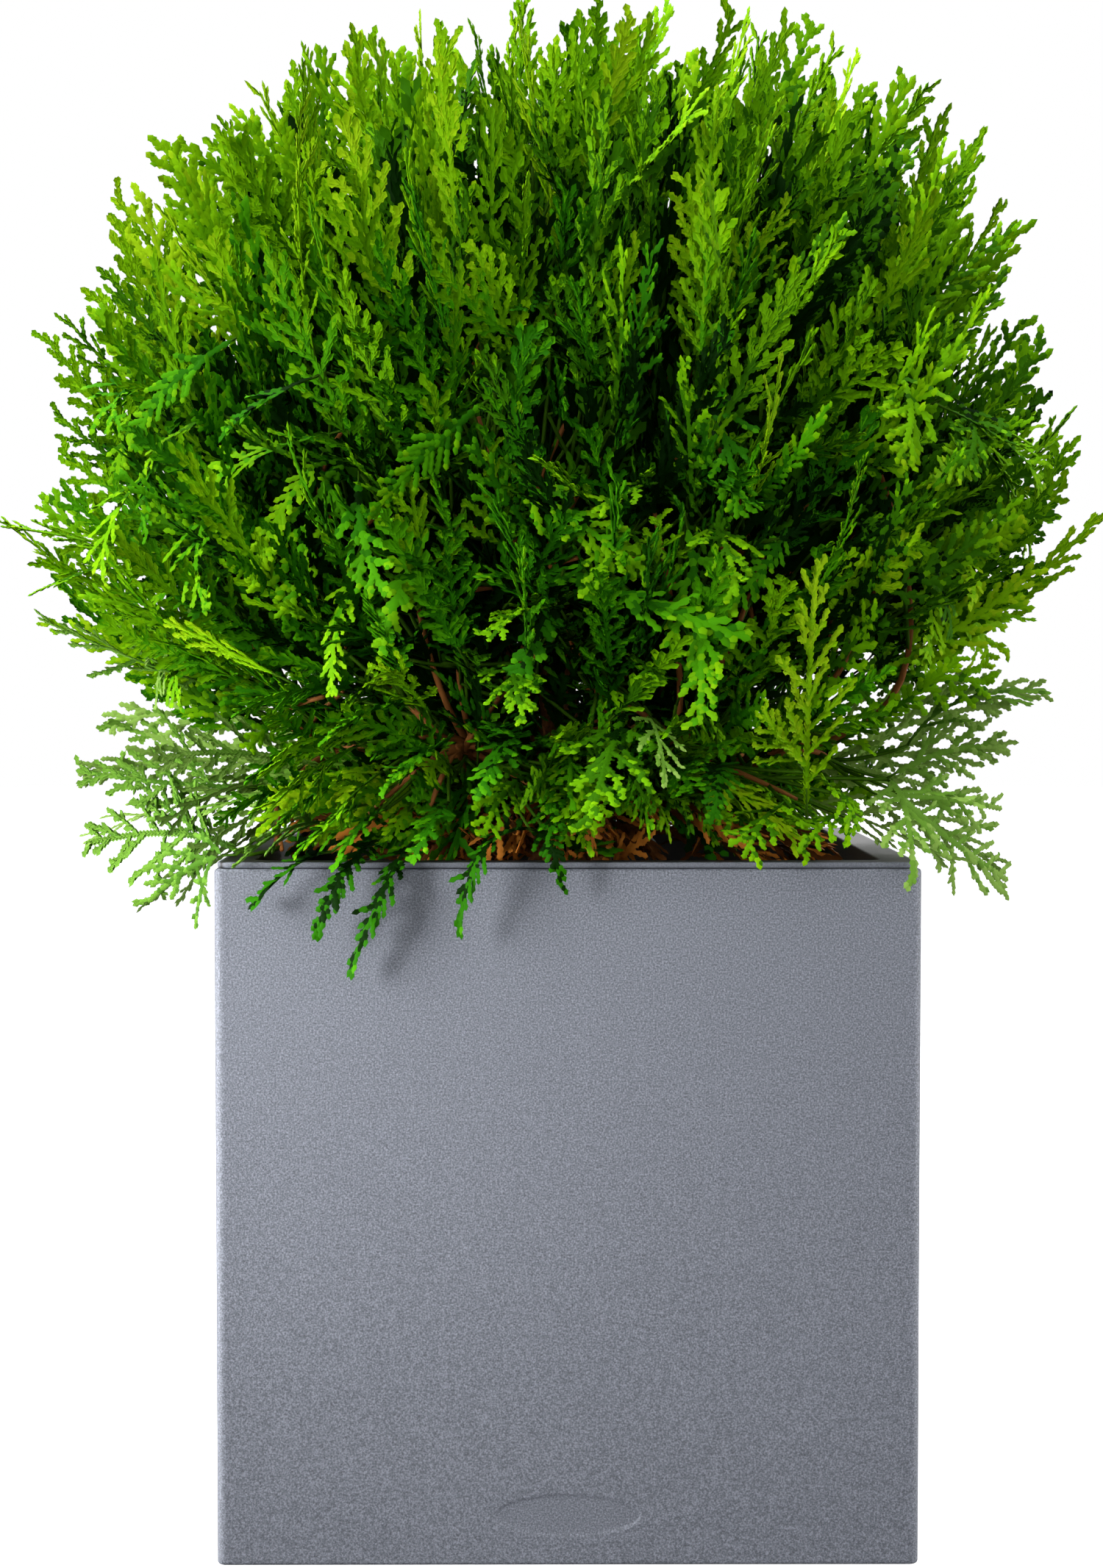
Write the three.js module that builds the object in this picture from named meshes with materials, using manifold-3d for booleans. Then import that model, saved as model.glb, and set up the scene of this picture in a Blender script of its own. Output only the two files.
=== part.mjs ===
// A globe-shaped eastern arborvitae of the danica kind, standing in its grey cube planter.
// Millimetres, +Z up, the origin at the centre of the planter's flat underside, the front at -Y.

import * as THREE from 'three';
import { mergeVertices } from 'three/addons/utils/BufferGeometryUtils.js';
import Module from 'manifold-3d';

const wasm = await Module();
wasm.setup();

const SEED = 20417;
const GAP = 0.3;
const UP = new THREE.Vector3(0, 0, 1);

// Planter shell: a cube-like box with a slight draft, rounded edges and a folded lip
const POT_WIDTH = 300;
const POT_BASE_WIDTH = 299.4;
const POT_HEIGHT = 297.6;
const POT_CORNER = 4;
const POT_EDGE = 1.4;
const POT_WALL = 5;
const POT_FLOOR = 6;
const POT_LIP_WIDTH = 12;
const POT_LIP_DEPTH = 8;

// Bare oval plaque, sunk a little into the front face
const PLAQUE_WIDTH = 63;
const PLAQUE_HEIGHT = 18.4;
const PLAQUE_CENTRE_Z = 21.5;
const PLAQUE_DEPTH = 0.5;
const PLAQUE_SEGMENTS = 28;

// Liner that hangs in the shell by its rim
const RIM_INSET = 1;
const RIM_HEIGHT = 2.5;
const LINER_WALL = 3.5;
const LINER_FLOOR = 4;
const LINER_FLOOR_Z = 24;
const LINER_CORNER = 7;

// Potting mix
const SOIL_BELOW_RIM = 21;

// Crown: the foliage's reach is taken from CROWN_CENTRE, and its spaces and sprays fan out from SPLIT
const CROWN_CENTRE = new THREE.Vector3(0, 0, 465);
const SPLIT = new THREE.Vector3(0, 0, 318);
const REACH_ELEVATIONS = [-44, -32, -20, -9, 2, 20, 40, 60, 78, 90];
const LEFT_REACH = [256, 262, 222, 250, 238, 238, 250, 232, 214, 208];
const RIGHT_REACH = [250, 238, 230, 232, 244, 238, 254, 243, 217, 208];
const LOWEST_SPRAY = -41;

// Dense heart of the crown: sprays stand out of its outer face, limbs fill its hollow
const HEART_CENTRE_Z = 436;
const HEART_RADIUS = 166;
const HEART_HALF_HEIGHT = 172;
const HEART_BUMP = 20;
const HEART_FLOOR_Z = 328;
const HEART_DETAIL = 3;
const HOLLOW_CENTRE_Z = 343;
const HOLLOW_RADIUS = 96;
const HOLLOW_HALF_HEIGHT = 186;
const HOLLOW_DETAIL = 2;

// Rings of foliage masses, as seen from SPLIT
const RINGS = [
  { name: 'top', count: 1, elevation: 90, turn: 0, limbBase: 6.4, limbTip: 3.6, rise: 1 },
  { name: 'upper', count: 5, elevation: 64.5, turn: 18, limbBase: 5.6, limbTip: 3.2, rise: 0.88 },
  { name: 'middle', count: 7, elevation: 41.5, turn: 5, limbBase: 5.2, limbTip: 3, rise: 0.62 },
  { name: 'lower', count: 8, elevation: 14, turn: -22.5, limbBase: 4.4, limbTip: 2.6, rise: 0.3 },
];

// Trunk
const TRUNK_FOOT_RADIUS = 30;
const TRUNK_RADIUS = 19;
const TRUNK_TOP_RADIUS = 16.5;
const TRUNK_HEIGHT = 66;
const TRUNK_FLARE_HEIGHT = 20;
const TRUNK_BUTTRESSES = 5;
const TRUNK_LEAN = 3;
const TRUNK_SWAY = 2.2;
const BUTTRESS_SHARE = 0.12;
const TRUNK_SIDES = 15;
const TRUNK_STEPS = 5;

// Limbs and stems
const LIMB_SIDES = 5;
const LIMB_STEPS = 4;
const LIMB_SWAY = 5;
const LIMB_SINK = 4;
const LIMB_BOW = 0.36;
const STEM_SIDES = 5;
const STEM_INSIDE = 26;
const STEM_OUTSIDE = 9;

// Sprays: flat toothed fans on a twig
const SPRAY_POINTS = 206;
const SPRAY_SINK = 12;
const LOWEST_ROOT = 9;
const SPRAY_WIDTH = 70;
const SPRAY_TRIES = 14;
const SPRAY_THICKNESS = 3.2;
const SPRAY_TIP_THICKNESS = 1.8;
const SPRAY_TWIG = 4.4;
const ARCH = 0.12;
const ARCH_Z = 360;
const CURL = 0.15;
const CURL_Z = 470;
const TOOTH_ROWS = [
  { root: 0.26, notch: 0.1, tip: 0.5, reach: 0.4 },
  { root: 0.46, notch: 0.15, tip: 0.74, reach: 0.5 },
  { root: 0.68, notch: 0.14, tip: 0.92, reach: 0.34 },
];
const LEAD_ROOT = 0.85;
const LEAD_NOTCH = 0.09;
const TOOTH_SHIFT = 0.045;

// Tips that must be reached: the highest lead, the widest ones and the low sprays that stick out at both sides
const MARKED_TIPS = [
  { x: 49, y: -10, z: 691, width: 52 },
  { x: -259, y: -24, z: 450, width: 50 },
  { x: -240, y: -30, z: 405, width: 50 },
  { x: -223, y: -42, z: 334, width: 58 },
  { x: -229, y: 14, z: 299, width: 56 },
  { x: -190, y: -60, z: 277, width: 54 },
  { x: -224, y: 62, z: 356, width: 58 },
  { x: 252, y: 0, z: 455, width: 50 },
  { x: 202, y: -34, z: 345, width: 58 },
  { x: 212, y: 26, z: 284, width: 54 },
  { x: 233, y: 30, z: 371, width: 54 },
  { x: 171, y: -100, z: 297, width: 50 },
];

// Sprays that hang over the front rim: place along the front, how low the tip comes, fan width
const HANGING_SPRAYS = [
  { x: -126, tipX: -133, tipZ: 281, width: 46 },
  { x: -84, tipX: -92, tipZ: 252, width: 44 },
  { x: -24, tipX: -50, tipZ: 270, width: 40 },
  { x: 134, tipX: 142, tipZ: 294, width: 40 },
];
const HANGING_ROOT_OUT = 118;
const HANGING_BEND_OUT = 196;
const HANGING_BEND_Z = 342;
const HANGING_TIP_OUT = 166;

const COLOURS = {
  planter: 0x81858f,
  liner: 0x5d6068,
  soil: 0x2e241b,
  bark: 0x6f4630,
  foliage: [0x4f9420, 0x468a1e, 0x3f7f22, 0x3b7830],
};

// Seeded source of even random numbers from 0 to 1
function randomSource(seed) {
  let state = seed >>> 0;
  return () => {
    state = (state + 0x6d2b79f5) >>> 0;
    let mixed = Math.imul(state ^ (state >>> 15), 1 | state);
    mixed = (mixed + Math.imul(mixed ^ (mixed >>> 7), 61 | mixed)) ^ mixed;
    return ((mixed ^ (mixed >>> 14)) >>> 0) / 4294967296;
  };
}

function spread(random, size) {
  return (random() * 2 - 1) * size;
}

function degrees(angle) {
  return THREE.MathUtils.degToRad(angle);
}

// Unit vector at an azimuth from +X towards +Y and an elevation above level
function towards(azimuth, elevation) {
  const level = Math.cos(elevation);
  return new THREE.Vector3(level * Math.cos(azimuth), level * Math.sin(azimuth), Math.sin(elevation));
}

// Closed geometry to solid and back
function toSolid(geometry) {
  const bare = geometry.clone();
  bare.deleteAttribute('normal');
  bare.deleteAttribute('uv');
  const merged = mergeVertices(bare, 1e-4);
  const vertProperties = new Float32Array(merged.attributes.position.array);
  const triVerts = new Uint32Array(merged.index.array);
  return new wasm.Manifold(new wasm.Mesh({ numProp: 3, vertProperties, triVerts }));
}

function toGeometry(solid) {
  const mesh = solid.getMesh();
  const geometry = new THREE.BufferGeometry();
  geometry.setAttribute('position', new THREE.BufferAttribute(mesh.vertProperties, 3));
  geometry.setIndex(new THREE.BufferAttribute(mesh.triVerts, 1));
  geometry.computeVertexNormals();
  return geometry;
}

function piece(name, solid, color, roughness) {
  const material = new THREE.MeshStandardMaterial({ color, roughness, metalness: 0, flatShading: true });
  const mesh = new THREE.Mesh(toGeometry(solid), material);
  mesh.name = name;
  return mesh;
}

// Square outline with rounded corners
function roundedSquare(width, radius) {
  const half = width / 2;
  const shape = new THREE.Shape();
  shape.moveTo(-half + radius, -half);
  shape.lineTo(half - radius, -half);
  shape.absarc(half - radius, -half + radius, radius, -Math.PI / 2, 0);
  shape.lineTo(half, half - radius);
  shape.absarc(half - radius, half - radius, radius, 0, Math.PI / 2);
  shape.lineTo(-half + radius, half);
  shape.absarc(-half + radius, half - radius, radius, Math.PI / 2, Math.PI);
  shape.lineTo(-half, -half + radius);
  shape.absarc(-half + radius, -half + radius, radius, Math.PI, Math.PI * 1.5);
  return shape;
}

// Upright square block from bottom to top, its edges eased where edge is above 0
function block(width, radius, bottom, top, edge = 0) {
  const geometry = new THREE.ExtrudeGeometry(roundedSquare(width, radius), {
    depth: top - bottom - 2 * edge,
    curveSegments: edge > 0 ? 4 : 2,
    bevelEnabled: edge > 0,
    bevelSize: edge,
    bevelOffset: -edge,
    bevelThickness: edge,
    bevelSegments: 1,
  });
  geometry.translate(0, 0, bottom + edge);
  return geometry;
}

// Narrows a block towards its foot
function draft(geometry, footScale, height) {
  const place = geometry.attributes.position;
  for (let i = 0; i < place.count; i += 1) {
    const scale = THREE.MathUtils.lerp(footScale, 1, place.getZ(i) / height);
    place.setXY(i, place.getX(i) * scale, place.getY(i) * scale);
  }
  return geometry;
}

function planterShell() {
  const upright = block(POT_WIDTH, POT_CORNER, 0, POT_HEIGHT, POT_EDGE);
  const outside = draft(upright, POT_BASE_WIDTH / POT_WIDTH, POT_HEIGHT);
  const roomWidth = POT_BASE_WIDTH - 2 * POT_WALL;
  const mouthWidth = POT_WIDTH - 2 * POT_LIP_WIDTH;
  const room = toSolid(block(roomWidth, POT_CORNER, POT_FLOOR, POT_HEIGHT - POT_LIP_DEPTH));
  const mouth = toSolid(block(mouthWidth, LINER_CORNER, POT_HEIGHT - POT_LIP_DEPTH - 1, POT_HEIGHT + 1));
  return toSolid(outside).subtract(room).subtract(mouth).subtract(plaqueRecess());
}

function plaqueRecess() {
  const oval = new THREE.CylinderGeometry(0.5, 0.5, 2 * PLAQUE_DEPTH, PLAQUE_SEGMENTS);
  oval.scale(PLAQUE_WIDTH, 1, PLAQUE_HEIGHT);
  const drop = (POT_WIDTH - POT_BASE_WIDTH) / 2;
  const faceY = -POT_BASE_WIDTH / 2 - (drop * PLAQUE_CENTRE_Z) / POT_HEIGHT;
  oval.translate(0, faceY, PLAQUE_CENTRE_Z);
  return toSolid(oval);
}

function planterLiner() {
  const bodyWidth = POT_WIDTH - 2 * POT_LIP_WIDTH - 2 * GAP;
  const roomWidth = bodyWidth - 2 * LINER_WALL;
  const rimWidth = POT_WIDTH - 2 * RIM_INSET;
  const seat = POT_HEIGHT + GAP;
  const roomFloor = LINER_FLOOR_Z + LINER_FLOOR;
  const body = toSolid(block(bodyWidth, LINER_CORNER, LINER_FLOOR_Z, seat + RIM_HEIGHT / 2));
  const rim = toSolid(block(rimWidth, LINER_CORNER, seat, seat + RIM_HEIGHT));
  const room = toSolid(block(roomWidth, LINER_CORNER, roomFloor, seat + 2 * RIM_HEIGHT));
  return body.add(rim).subtract(room);
}

const soilTop = POT_HEIGHT + RIM_HEIGHT - SOIL_BELOW_RIM;

function substrate() {
  const width = POT_WIDTH - 2 * (POT_LIP_WIDTH + LINER_WALL + 2 * GAP);
  return toSolid(block(width, LINER_CORNER, LINER_FLOOR_Z + LINER_FLOOR + GAP, soilTop));
}

// Trunk: a lathe-like column with buttresses at its foot and a rounded fork
const trunkFoot = soilTop + GAP;

function trunkAxis(rise) {
  const aside = Math.sin(rise * TRUNK_SWAY) * TRUNK_LEAN;
  return new THREE.Vector3(aside, -rise * TRUNK_LEAN, trunkFoot + rise * TRUNK_HEIGHT);
}

function trunkRadius(rise) {
  const flare = Math.max(0, 1 - (rise * TRUNK_HEIGHT) / TRUNK_FLARE_HEIGHT) ** 2;
  const column = THREE.MathUtils.lerp(TRUNK_RADIUS, TRUNK_TOP_RADIUS, rise);
  return column + (TRUNK_FOOT_RADIUS - TRUNK_RADIUS) * flare;
}

function buttress(rise, angle) {
  const fade = Math.max(0, 1 - rise * 1.6);
  return 1 + BUTTRESS_SHARE * fade * Math.cos(angle * TRUNK_BUTTRESSES);
}

// The trunk, or the same grown by a clearance on all sides
function trunk(grow = 0) {
  const geometry = new THREE.CylinderGeometry(1, 1, 1, TRUNK_SIDES, TRUNK_STEPS);
  const place = geometry.attributes.position;
  for (let i = 0; i < place.count; i += 1) {
    const rise = place.getY(i) + 0.5;
    const across = new THREE.Vector2(place.getX(i), -place.getZ(i));
    const radius = trunkRadius(rise) * buttress(rise, across.angle()) + grow;
    const centre = trunkAxis(rise);
    const height = centre.z + (rise * 2 - 1) * grow;
    place.setXYZ(i, centre.x + across.x * radius, centre.y + across.y * radius, height);
  }
  return toSolid(geometry);
}

// Tapering limb along a curve
function limbAlong(curve, baseRadius, tipRadius, sides, steps) {
  const geometry = new THREE.CylinderGeometry(tipRadius, baseRadius, 1, sides, steps);
  const frames = curve.computeFrenetFrames(steps, false);
  const place = geometry.attributes.position;
  for (let i = 0; i < place.count; i += 1) {
    const along = place.getY(i) + 0.5;
    const step = Math.round(along * steps);
    const point = curve.getPoint(along);
    point.addScaledVector(frames.normals[step], place.getX(i));
    point.addScaledVector(frames.binormals[step], -place.getZ(i));
    place.setXYZ(i, point.x, point.y, point.z);
  }
  return toSolid(geometry);
}

// Directions from SPLIT of all masses, ring by ring
function massSites() {
  const sites = [];
  for (const ring of RINGS) {
    for (let i = 0; i < ring.count; i += 1) {
      const azimuth = degrees(ring.turn + (360 * i) / ring.count);
      const label = ring.count > 1 ? `${ring.name}_${i + 1}` : ring.name;
      sites.push({ ring, label, azimuth, direction: towards(azimuth, degrees(ring.elevation)) });
    }
  }
  return sites;
}

// Distance from SPLIT to an upright ellipsoid round the plant's axis
function toEllipsoid(direction, centreZ, radius, halfHeight) {
  const stretch = new THREE.Vector3(1 / radius, 1 / radius, 1 / halfHeight);
  const way = direction.clone().multiply(stretch);
  const start = new THREE.Vector3(0, 0, SPLIT.z - centreZ).multiply(stretch);
  const a = way.lengthSq();
  const b = way.dot(start);
  const c = start.lengthSq() - 1;
  return (-b + Math.sqrt(b * b - a * c)) / a;
}

function hollowDistance(direction) {
  return toEllipsoid(direction, HOLLOW_CENTRE_Z, HOLLOW_RADIUS, HOLLOW_HALF_HEIGHT);
}

function heartDistance(direction) {
  return toEllipsoid(direction, HEART_CENTRE_Z, HEART_RADIUS - HEART_BUMP, HEART_HALF_HEIGHT - HEART_BUMP);
}

// A limb from the trunk to just inside the hollow's wall
function limbCurve(site, random) {
  const outward = towards(site.azimuth, 0);
  const axis = trunkAxis(site.ring.rise);
  const start = axis.clone();
  if (site.ring.count > 1) {
    start.addScaledVector(outward, trunkRadius(site.ring.rise) - LIMB_SINK);
  }
  const end = SPLIT.clone().addScaledVector(site.direction, hollowDistance(site.direction) - STEM_OUTSIDE);
  const reach = start.distanceTo(end) * LIMB_BOW;
  const sway = new THREE.Vector3(-outward.y, outward.x, 0).multiplyScalar(spread(random, LIMB_SWAY));
  const leave = outward.clone().lerp(site.direction, 0.35).normalize();
  const low = start.clone().addScaledVector(leave, reach).add(sway);
  const high = end.clone().addScaledVector(site.direction, -reach);
  return new THREE.CubicBezierCurve3(start, low, high, end);
}

function boughs(sites, random) {
  const guard = trunk(GAP);
  return sites.map((site) => {
    const curve = limbCurve(site, random);
    const whole = limbAlong(curve, site.ring.limbBase, site.ring.limbTip, LIMB_SIDES, LIMB_STEPS);
    return { site, solid: largestBody(whole.subtract(guard)) };
  });
}

function largestBody(solid) {
  const bodies = solid.decompose();
  return bodies.reduce((best, body) => (body.volume() > best.volume() ? body : best));
}

// How far the crown reaches from its centre in a direction
function crownReach(direction) {
  const elevation = THREE.MathUtils.radToDeg(Math.asin(direction.z));
  let row = 1;
  while (row < REACH_ELEVATIONS.length - 1 && elevation > REACH_ELEVATIONS[row]) {
    row += 1;
  }
  const low = REACH_ELEVATIONS[row - 1];
  const share = THREE.MathUtils.clamp((elevation - low) / (REACH_ELEVATIONS[row] - low), 0, 1);
  const left = THREE.MathUtils.lerp(LEFT_REACH[row - 1], LEFT_REACH[row], share);
  const right = THREE.MathUtils.lerp(RIGHT_REACH[row - 1], RIGHT_REACH[row], share);
  const side = (1 + direction.x / Math.max(Math.hypot(direction.x, direction.y), 0.01)) / 2;
  return THREE.MathUtils.lerp(left, right, side);
}

// Which mass a point belongs to: the one whose direction from SPLIT is nearest
function nearestSite(point, sites) {
  const way = point.clone().sub(SPLIT).normalize();
  return sites.reduce((best, site) => (way.dot(site.direction) > way.dot(best.direction) ? site : best));
}

// Every vertex of a geometry lies in the site's own space, with half a gap to spare
function insideSpace(geometry, site, sites) {
  const place = geometry.attributes.position;
  const point = new THREE.Vector3();
  for (const other of sites) {
    if (other !== site) {
      const normal = site.direction.clone().sub(other.direction).normalize();
      for (let i = 0; i < place.count; i += 1) {
        point.fromBufferAttribute(place, i).sub(SPLIT);
        if (point.dot(normal) < GAP) {
          return false;
        }
      }
    }
  }
  return true;
}

// Sprays, spread evenly over the crown
function sprayPlans(random) {
  const plans = MARKED_TIPS.map(({ x, y, z, width }) => ({ tip: new THREE.Vector3(x, y, z), width }));
  const golden = Math.PI * (3 - Math.sqrt(5));
  for (let i = 0; i < SPRAY_POINTS; i += 1) {
    const elevation = Math.asin(1 - (2 * (i + 0.5)) / SPRAY_POINTS);
    if (elevation > degrees(LOWEST_SPRAY)) {
      const out = towards(i * golden, elevation);
      const tip = CROWN_CENTRE.clone().addScaledVector(out, crownReach(out) * (0.94 + 0.06 * random()));
      plans.push({ tip, width: SPRAY_WIDTH * (0.85 + 0.3 * random()) });
    }
  }
  return plans;
}

// Root of a spray: sunk in the heart on the way from SPLIT to the tip, never below the heart's floor
function sprayRoot(tip, random, jitter) {
  const way = tip.clone().sub(SPLIT).normalize();
  const azimuth = Math.atan2(way.y, way.x) + spread(random, jitter);
  const elevation = Math.max(Math.asin(way.z) + spread(random, jitter), degrees(LOWEST_ROOT));
  const direction = towards(azimuth, elevation);
  return SPLIT.clone().addScaledVector(direction, heartDistance(direction) - SPRAY_SINK);
}

function sprayCurve(plan, random, jitter) {
  const root = sprayRoot(plan.tip, random, jitter);
  const span = root.distanceTo(plan.tip);
  const bend = root.clone().lerp(plan.tip, 0.55);
  const height = THREE.MathUtils.clamp((plan.tip.z - ARCH_Z) / (CURL_Z - ARCH_Z), 0, 1);
  bend.addScaledVector(UP, span * (THREE.MathUtils.lerp(ARCH, -CURL, height) + spread(random, 0.03)));
  return new THREE.QuadraticBezierCurve3(root, bend, plan.tip);
}

// Outline of one side of a fan: notch and tooth tip for each row, as shares of length and width
function fanSide(side, shift) {
  return TOOTH_ROWS.map((row) => ({
    root: row.root,
    notch: [row.root + shift * 0.5, side * row.notch],
    tooth: [row.tip + shift, side * row.reach],
  }));
}

// Toothed fan: thick along its rib, sharp at its outline, bent along the curve
function fan(curve, width, roll) {
  const start = curve.getTangent(0);
  const across = acrossOf(start, roll);
  const builder = { points: [], faces: [] };
  const place = (along, sideways, lift) => {
    const share = Math.min(along, 1);
    const tangent = curve.getTangent(share);
    const flat = across.clone().addScaledVector(tangent, -across.dot(tangent)).normalize();
    const point = curve.getPoint(share);
    const thickness = THREE.MathUtils.lerp(SPRAY_THICKNESS, SPRAY_TIP_THICKNESS, share);
    point.addScaledVector(flat, sideways * width);
    point.addScaledVector(tangent.clone().cross(flat), (lift * thickness) / 2);
    builder.points.push(point);
    return builder.points.length - 1;
  };
  addFanFaces(place, builder.faces, width);
  return fanGeometry(builder);
}

function acrossOf(direction, roll) {
  const level = Math.abs(direction.z) > 0.95 ? new THREE.Vector3(1, 0, 0) : UP;
  const across = level.clone().addScaledVector(direction, -level.dot(direction)).normalize();
  return across.applyAxisAngle(direction, roll);
}

function addFanFaces(place, faces, width) {
  const twig = SPRAY_TWIG / 2 / width;
  const sides = [fanSide(1, 0), fanSide(-1, TOOTH_SHIFT)];
  const ribRoots = [0, ...TOOTH_ROWS.map((row) => row.root), LEAD_ROOT];
  const topRib = ribRoots.map((along) => place(along, 0, 1));
  const underRib = ribRoots.map((along) => place(along, 0, -1));
  const tip = place(1, 0, 0);
  sides.forEach((rows, index) => {
    const sign = index === 0 ? 1 : -1;
    const root = place(0, sign * twig, 0);
    const notches = rows.map((row) => place(row.notch[0], row.notch[1], 0));
    notches.push(place(LEAD_ROOT, sign * LEAD_NOTCH, 0));
    const teeth = rows.map((row) => place(row.tooth[0], row.tooth[1], 0));
    const add = (a, b, c) => faces.push(sign > 0 ? [a, b, c] : [a, c, b]);
    for (const [rib, flip] of [[topRib, false], [underRib, true]]) {
      const put = (a, b, c) => (flip ? add(a, c, b) : add(a, b, c));
      put(rib[0], rib[1], root);
      put(rib[1], notches[0], root);
      rows.forEach((row, i) => {
        put(rib[i + 1], teeth[i], notches[i]);
        put(rib[i + 1], rib[i + 2], teeth[i]);
        put(rib[i + 2], notches[i + 1], teeth[i]);
      });
      put(rib[rows.length + 1], tip, notches[rows.length]);
    }
    add(topRib[0], root, underRib[0]);
  });
}

function fanGeometry(builder) {
  const geometry = new THREE.BufferGeometry().setFromPoints(builder.points);
  geometry.setIndex(builder.faces.flat());
  return geometry;
}

// Box that covers everything on one side of a plane set off from SPLIT
function beyondPlane(normal, offset) {
  const size = 1400;
  const box = new THREE.BoxGeometry(size, size, size);
  box.translate(0, 0, -size / 2);
  box.applyQuaternion(new THREE.Quaternion().setFromUnitVectors(UP, normal));
  box.translate(SPLIT.x + normal.x * offset, SPLIT.y + normal.y * offset, SPLIT.z + normal.z * offset);
  return toSolid(box);
}

// Upright ellipsoid whose vertices are each pushed out or in by swell(radius)
function upright(centreZ, radius, halfHeight, detail, swell) {
  const ball = new THREE.IcosahedronGeometry(1, detail);
  ball.deleteAttribute('normal');
  ball.deleteAttribute('uv');
  const geometry = mergeVertices(ball, 1e-4);
  const place = geometry.attributes.position;
  for (let i = 0; i < place.count; i += 1) {
    const size = swell(radius);
    const x = place.getX(i) * radius * size;
    const y = place.getY(i) * radius * size;
    place.setXYZ(i, x, y, centreZ + place.getZ(i) * halfHeight * size);
  }
  return toSolid(geometry);
}

// The heart's shell, open below, before it is shared out among the masses
function heartShell(random) {
  const outside = upright(HEART_CENTRE_Z, HEART_RADIUS, HEART_HALF_HEIGHT, HEART_DETAIL, (radius) => (
    1 + spread(random, HEART_BUMP / radius)
  ));
  const hollow = upright(HOLLOW_CENTRE_Z, HOLLOW_RADIUS, HOLLOW_HALF_HEIGHT, HOLLOW_DETAIL, () => 1);
  return outside.subtract(hollow).subtract(beyondPlane(UP, HEART_FLOOR_Z - SPLIT.z));
}

// The part of the heart that lies in a site's own space
function heartOf(site, sites, shell) {
  let heart = shell;
  for (const other of sites) {
    if (other !== site) {
      const normal = site.direction.clone().sub(other.direction).normalize();
      heart = heart.subtract(beyondPlane(normal, GAP));
    }
  }
  return largestBody(heart);
}

// Stem that carries a mass on from the tip of its bough
function massStem(site) {
  const inner = hollowDistance(site.direction) - STEM_OUTSIDE + GAP;
  const start = SPLIT.clone().addScaledVector(site.direction, inner);
  const end = SPLIT.clone().addScaledVector(site.direction, inner + STEM_OUTSIDE + STEM_INSIDE);
  const curve = new THREE.LineCurve3(start, end);
  return limbAlong(curve, site.ring.limbTip, site.ring.limbTip * 0.7, STEM_SIDES, 1);
}

function planterGuard() {
  const grown = POT_WIDTH + 2;
  return toSolid(block(grown, POT_CORNER, -1, POT_HEIGHT + RIM_HEIGHT + 2));
}

// Adds a spray to a mass where one of several seeded tries fits its space and clears limbs and planter
function growSpray(mass, makeFan, sites, guards) {
  for (let attempt = 0; attempt < SPRAY_TRIES; attempt += 1) {
    const geometry = makeFan(attempt);
    if (insideSpace(geometry, mass.site, sites)) {
      const solid = toSolid(geometry);
      const clear = guards.every((guard) => guard.intersect(solid).isEmpty());
      if (clear && !mass.heart.intersect(solid).isEmpty()) {
        mass.solid = mass.solid.add(solid);
        return;
      }
    }
  }
}

function planSpray(plan, masses, sites, guards, random) {
  const site = nearestSite(plan.tip, sites);
  const mass = masses.find((entry) => entry.site === site);
  const makeFan = (attempt) => {
    const jitter = 0.04 + 0.012 * attempt;
    const width = plan.width * (1 - 0.035 * attempt);
    return fan(sprayCurve(plan, random, jitter), width, spread(random, Math.PI / 2));
  };
  growSpray(mass, makeFan, sites, guards);
}

function hangingFan(spray, attempt) {
  const root = new THREE.Vector3(spray.x, -HANGING_ROOT_OUT + attempt * 2, HEART_FLOOR_Z + 12);
  const bend = new THREE.Vector3((spray.x + spray.tipX) / 2, -HANGING_BEND_OUT, HANGING_BEND_Z);
  const tip = new THREE.Vector3(spray.tipX, -HANGING_TIP_OUT - attempt, spray.tipZ);
  const curve = new THREE.QuadraticBezierCurve3(root, bend, tip);
  return fan(curve, spray.width, Math.PI / 2);
}

function growHanging(spray, masses, sites, guards) {
  const root = new THREE.Vector3(spray.x, -HANGING_TIP_OUT, HANGING_BEND_Z);
  const site = nearestSite(root, sites);
  const mass = masses.find((entry) => entry.site === site);
  growSpray(mass, (attempt) => hangingFan(spray, attempt), sites, guards);
}

function foliage(sites, limbs, random) {
  const shell = heartShell(random);
  const limbGuard = limbs.reduce((all, limb) => all.add(limb), limbs[0]);
  const masses = sites.map((site) => {
    const heart = largestBody(heartOf(site, sites, shell).subtract(limbGuard));
    return { site, heart, solid: heart.add(massStem(site)) };
  });
  const guards = [limbGuard, planterGuard()];
  HANGING_SPRAYS.forEach((spray) => growHanging(spray, masses, sites, guards));
  sprayPlans(random).forEach((plan) => planSpray(plan, masses, sites, guards, random));
  return masses;
}

function foliageColour(index) {
  return COLOURS.foliage[index % COLOURS.foliage.length];
}

function assemble() {
  const random = randomSource(SEED);
  const group = new THREE.Group();
  group.add(piece('planter_shell', planterShell(), COLOURS.planter, 0.85));
  group.add(piece('planter_liner', planterLiner(), COLOURS.liner, 0.8));
  group.add(piece('substrate', substrate(), COLOURS.soil, 1));
  group.add(piece('trunk', trunk(), COLOURS.bark, 0.9));
  const sites = massSites();
  const limbs = boughs(sites, random);
  limbs.forEach(({ site, solid }) => group.add(piece(`bough_${site.label}`, solid, COLOURS.bark, 0.9)));
  const masses = foliage(sites, [trunk(GAP), ...limbs.map((limb) => limb.solid)], random);
  masses.forEach(({ site, solid }, index) => {
    group.add(piece(`foliage_${site.label}`, solid, foliageColour(index), 0.75));
  });
  return group;
}

export default assemble();
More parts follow.
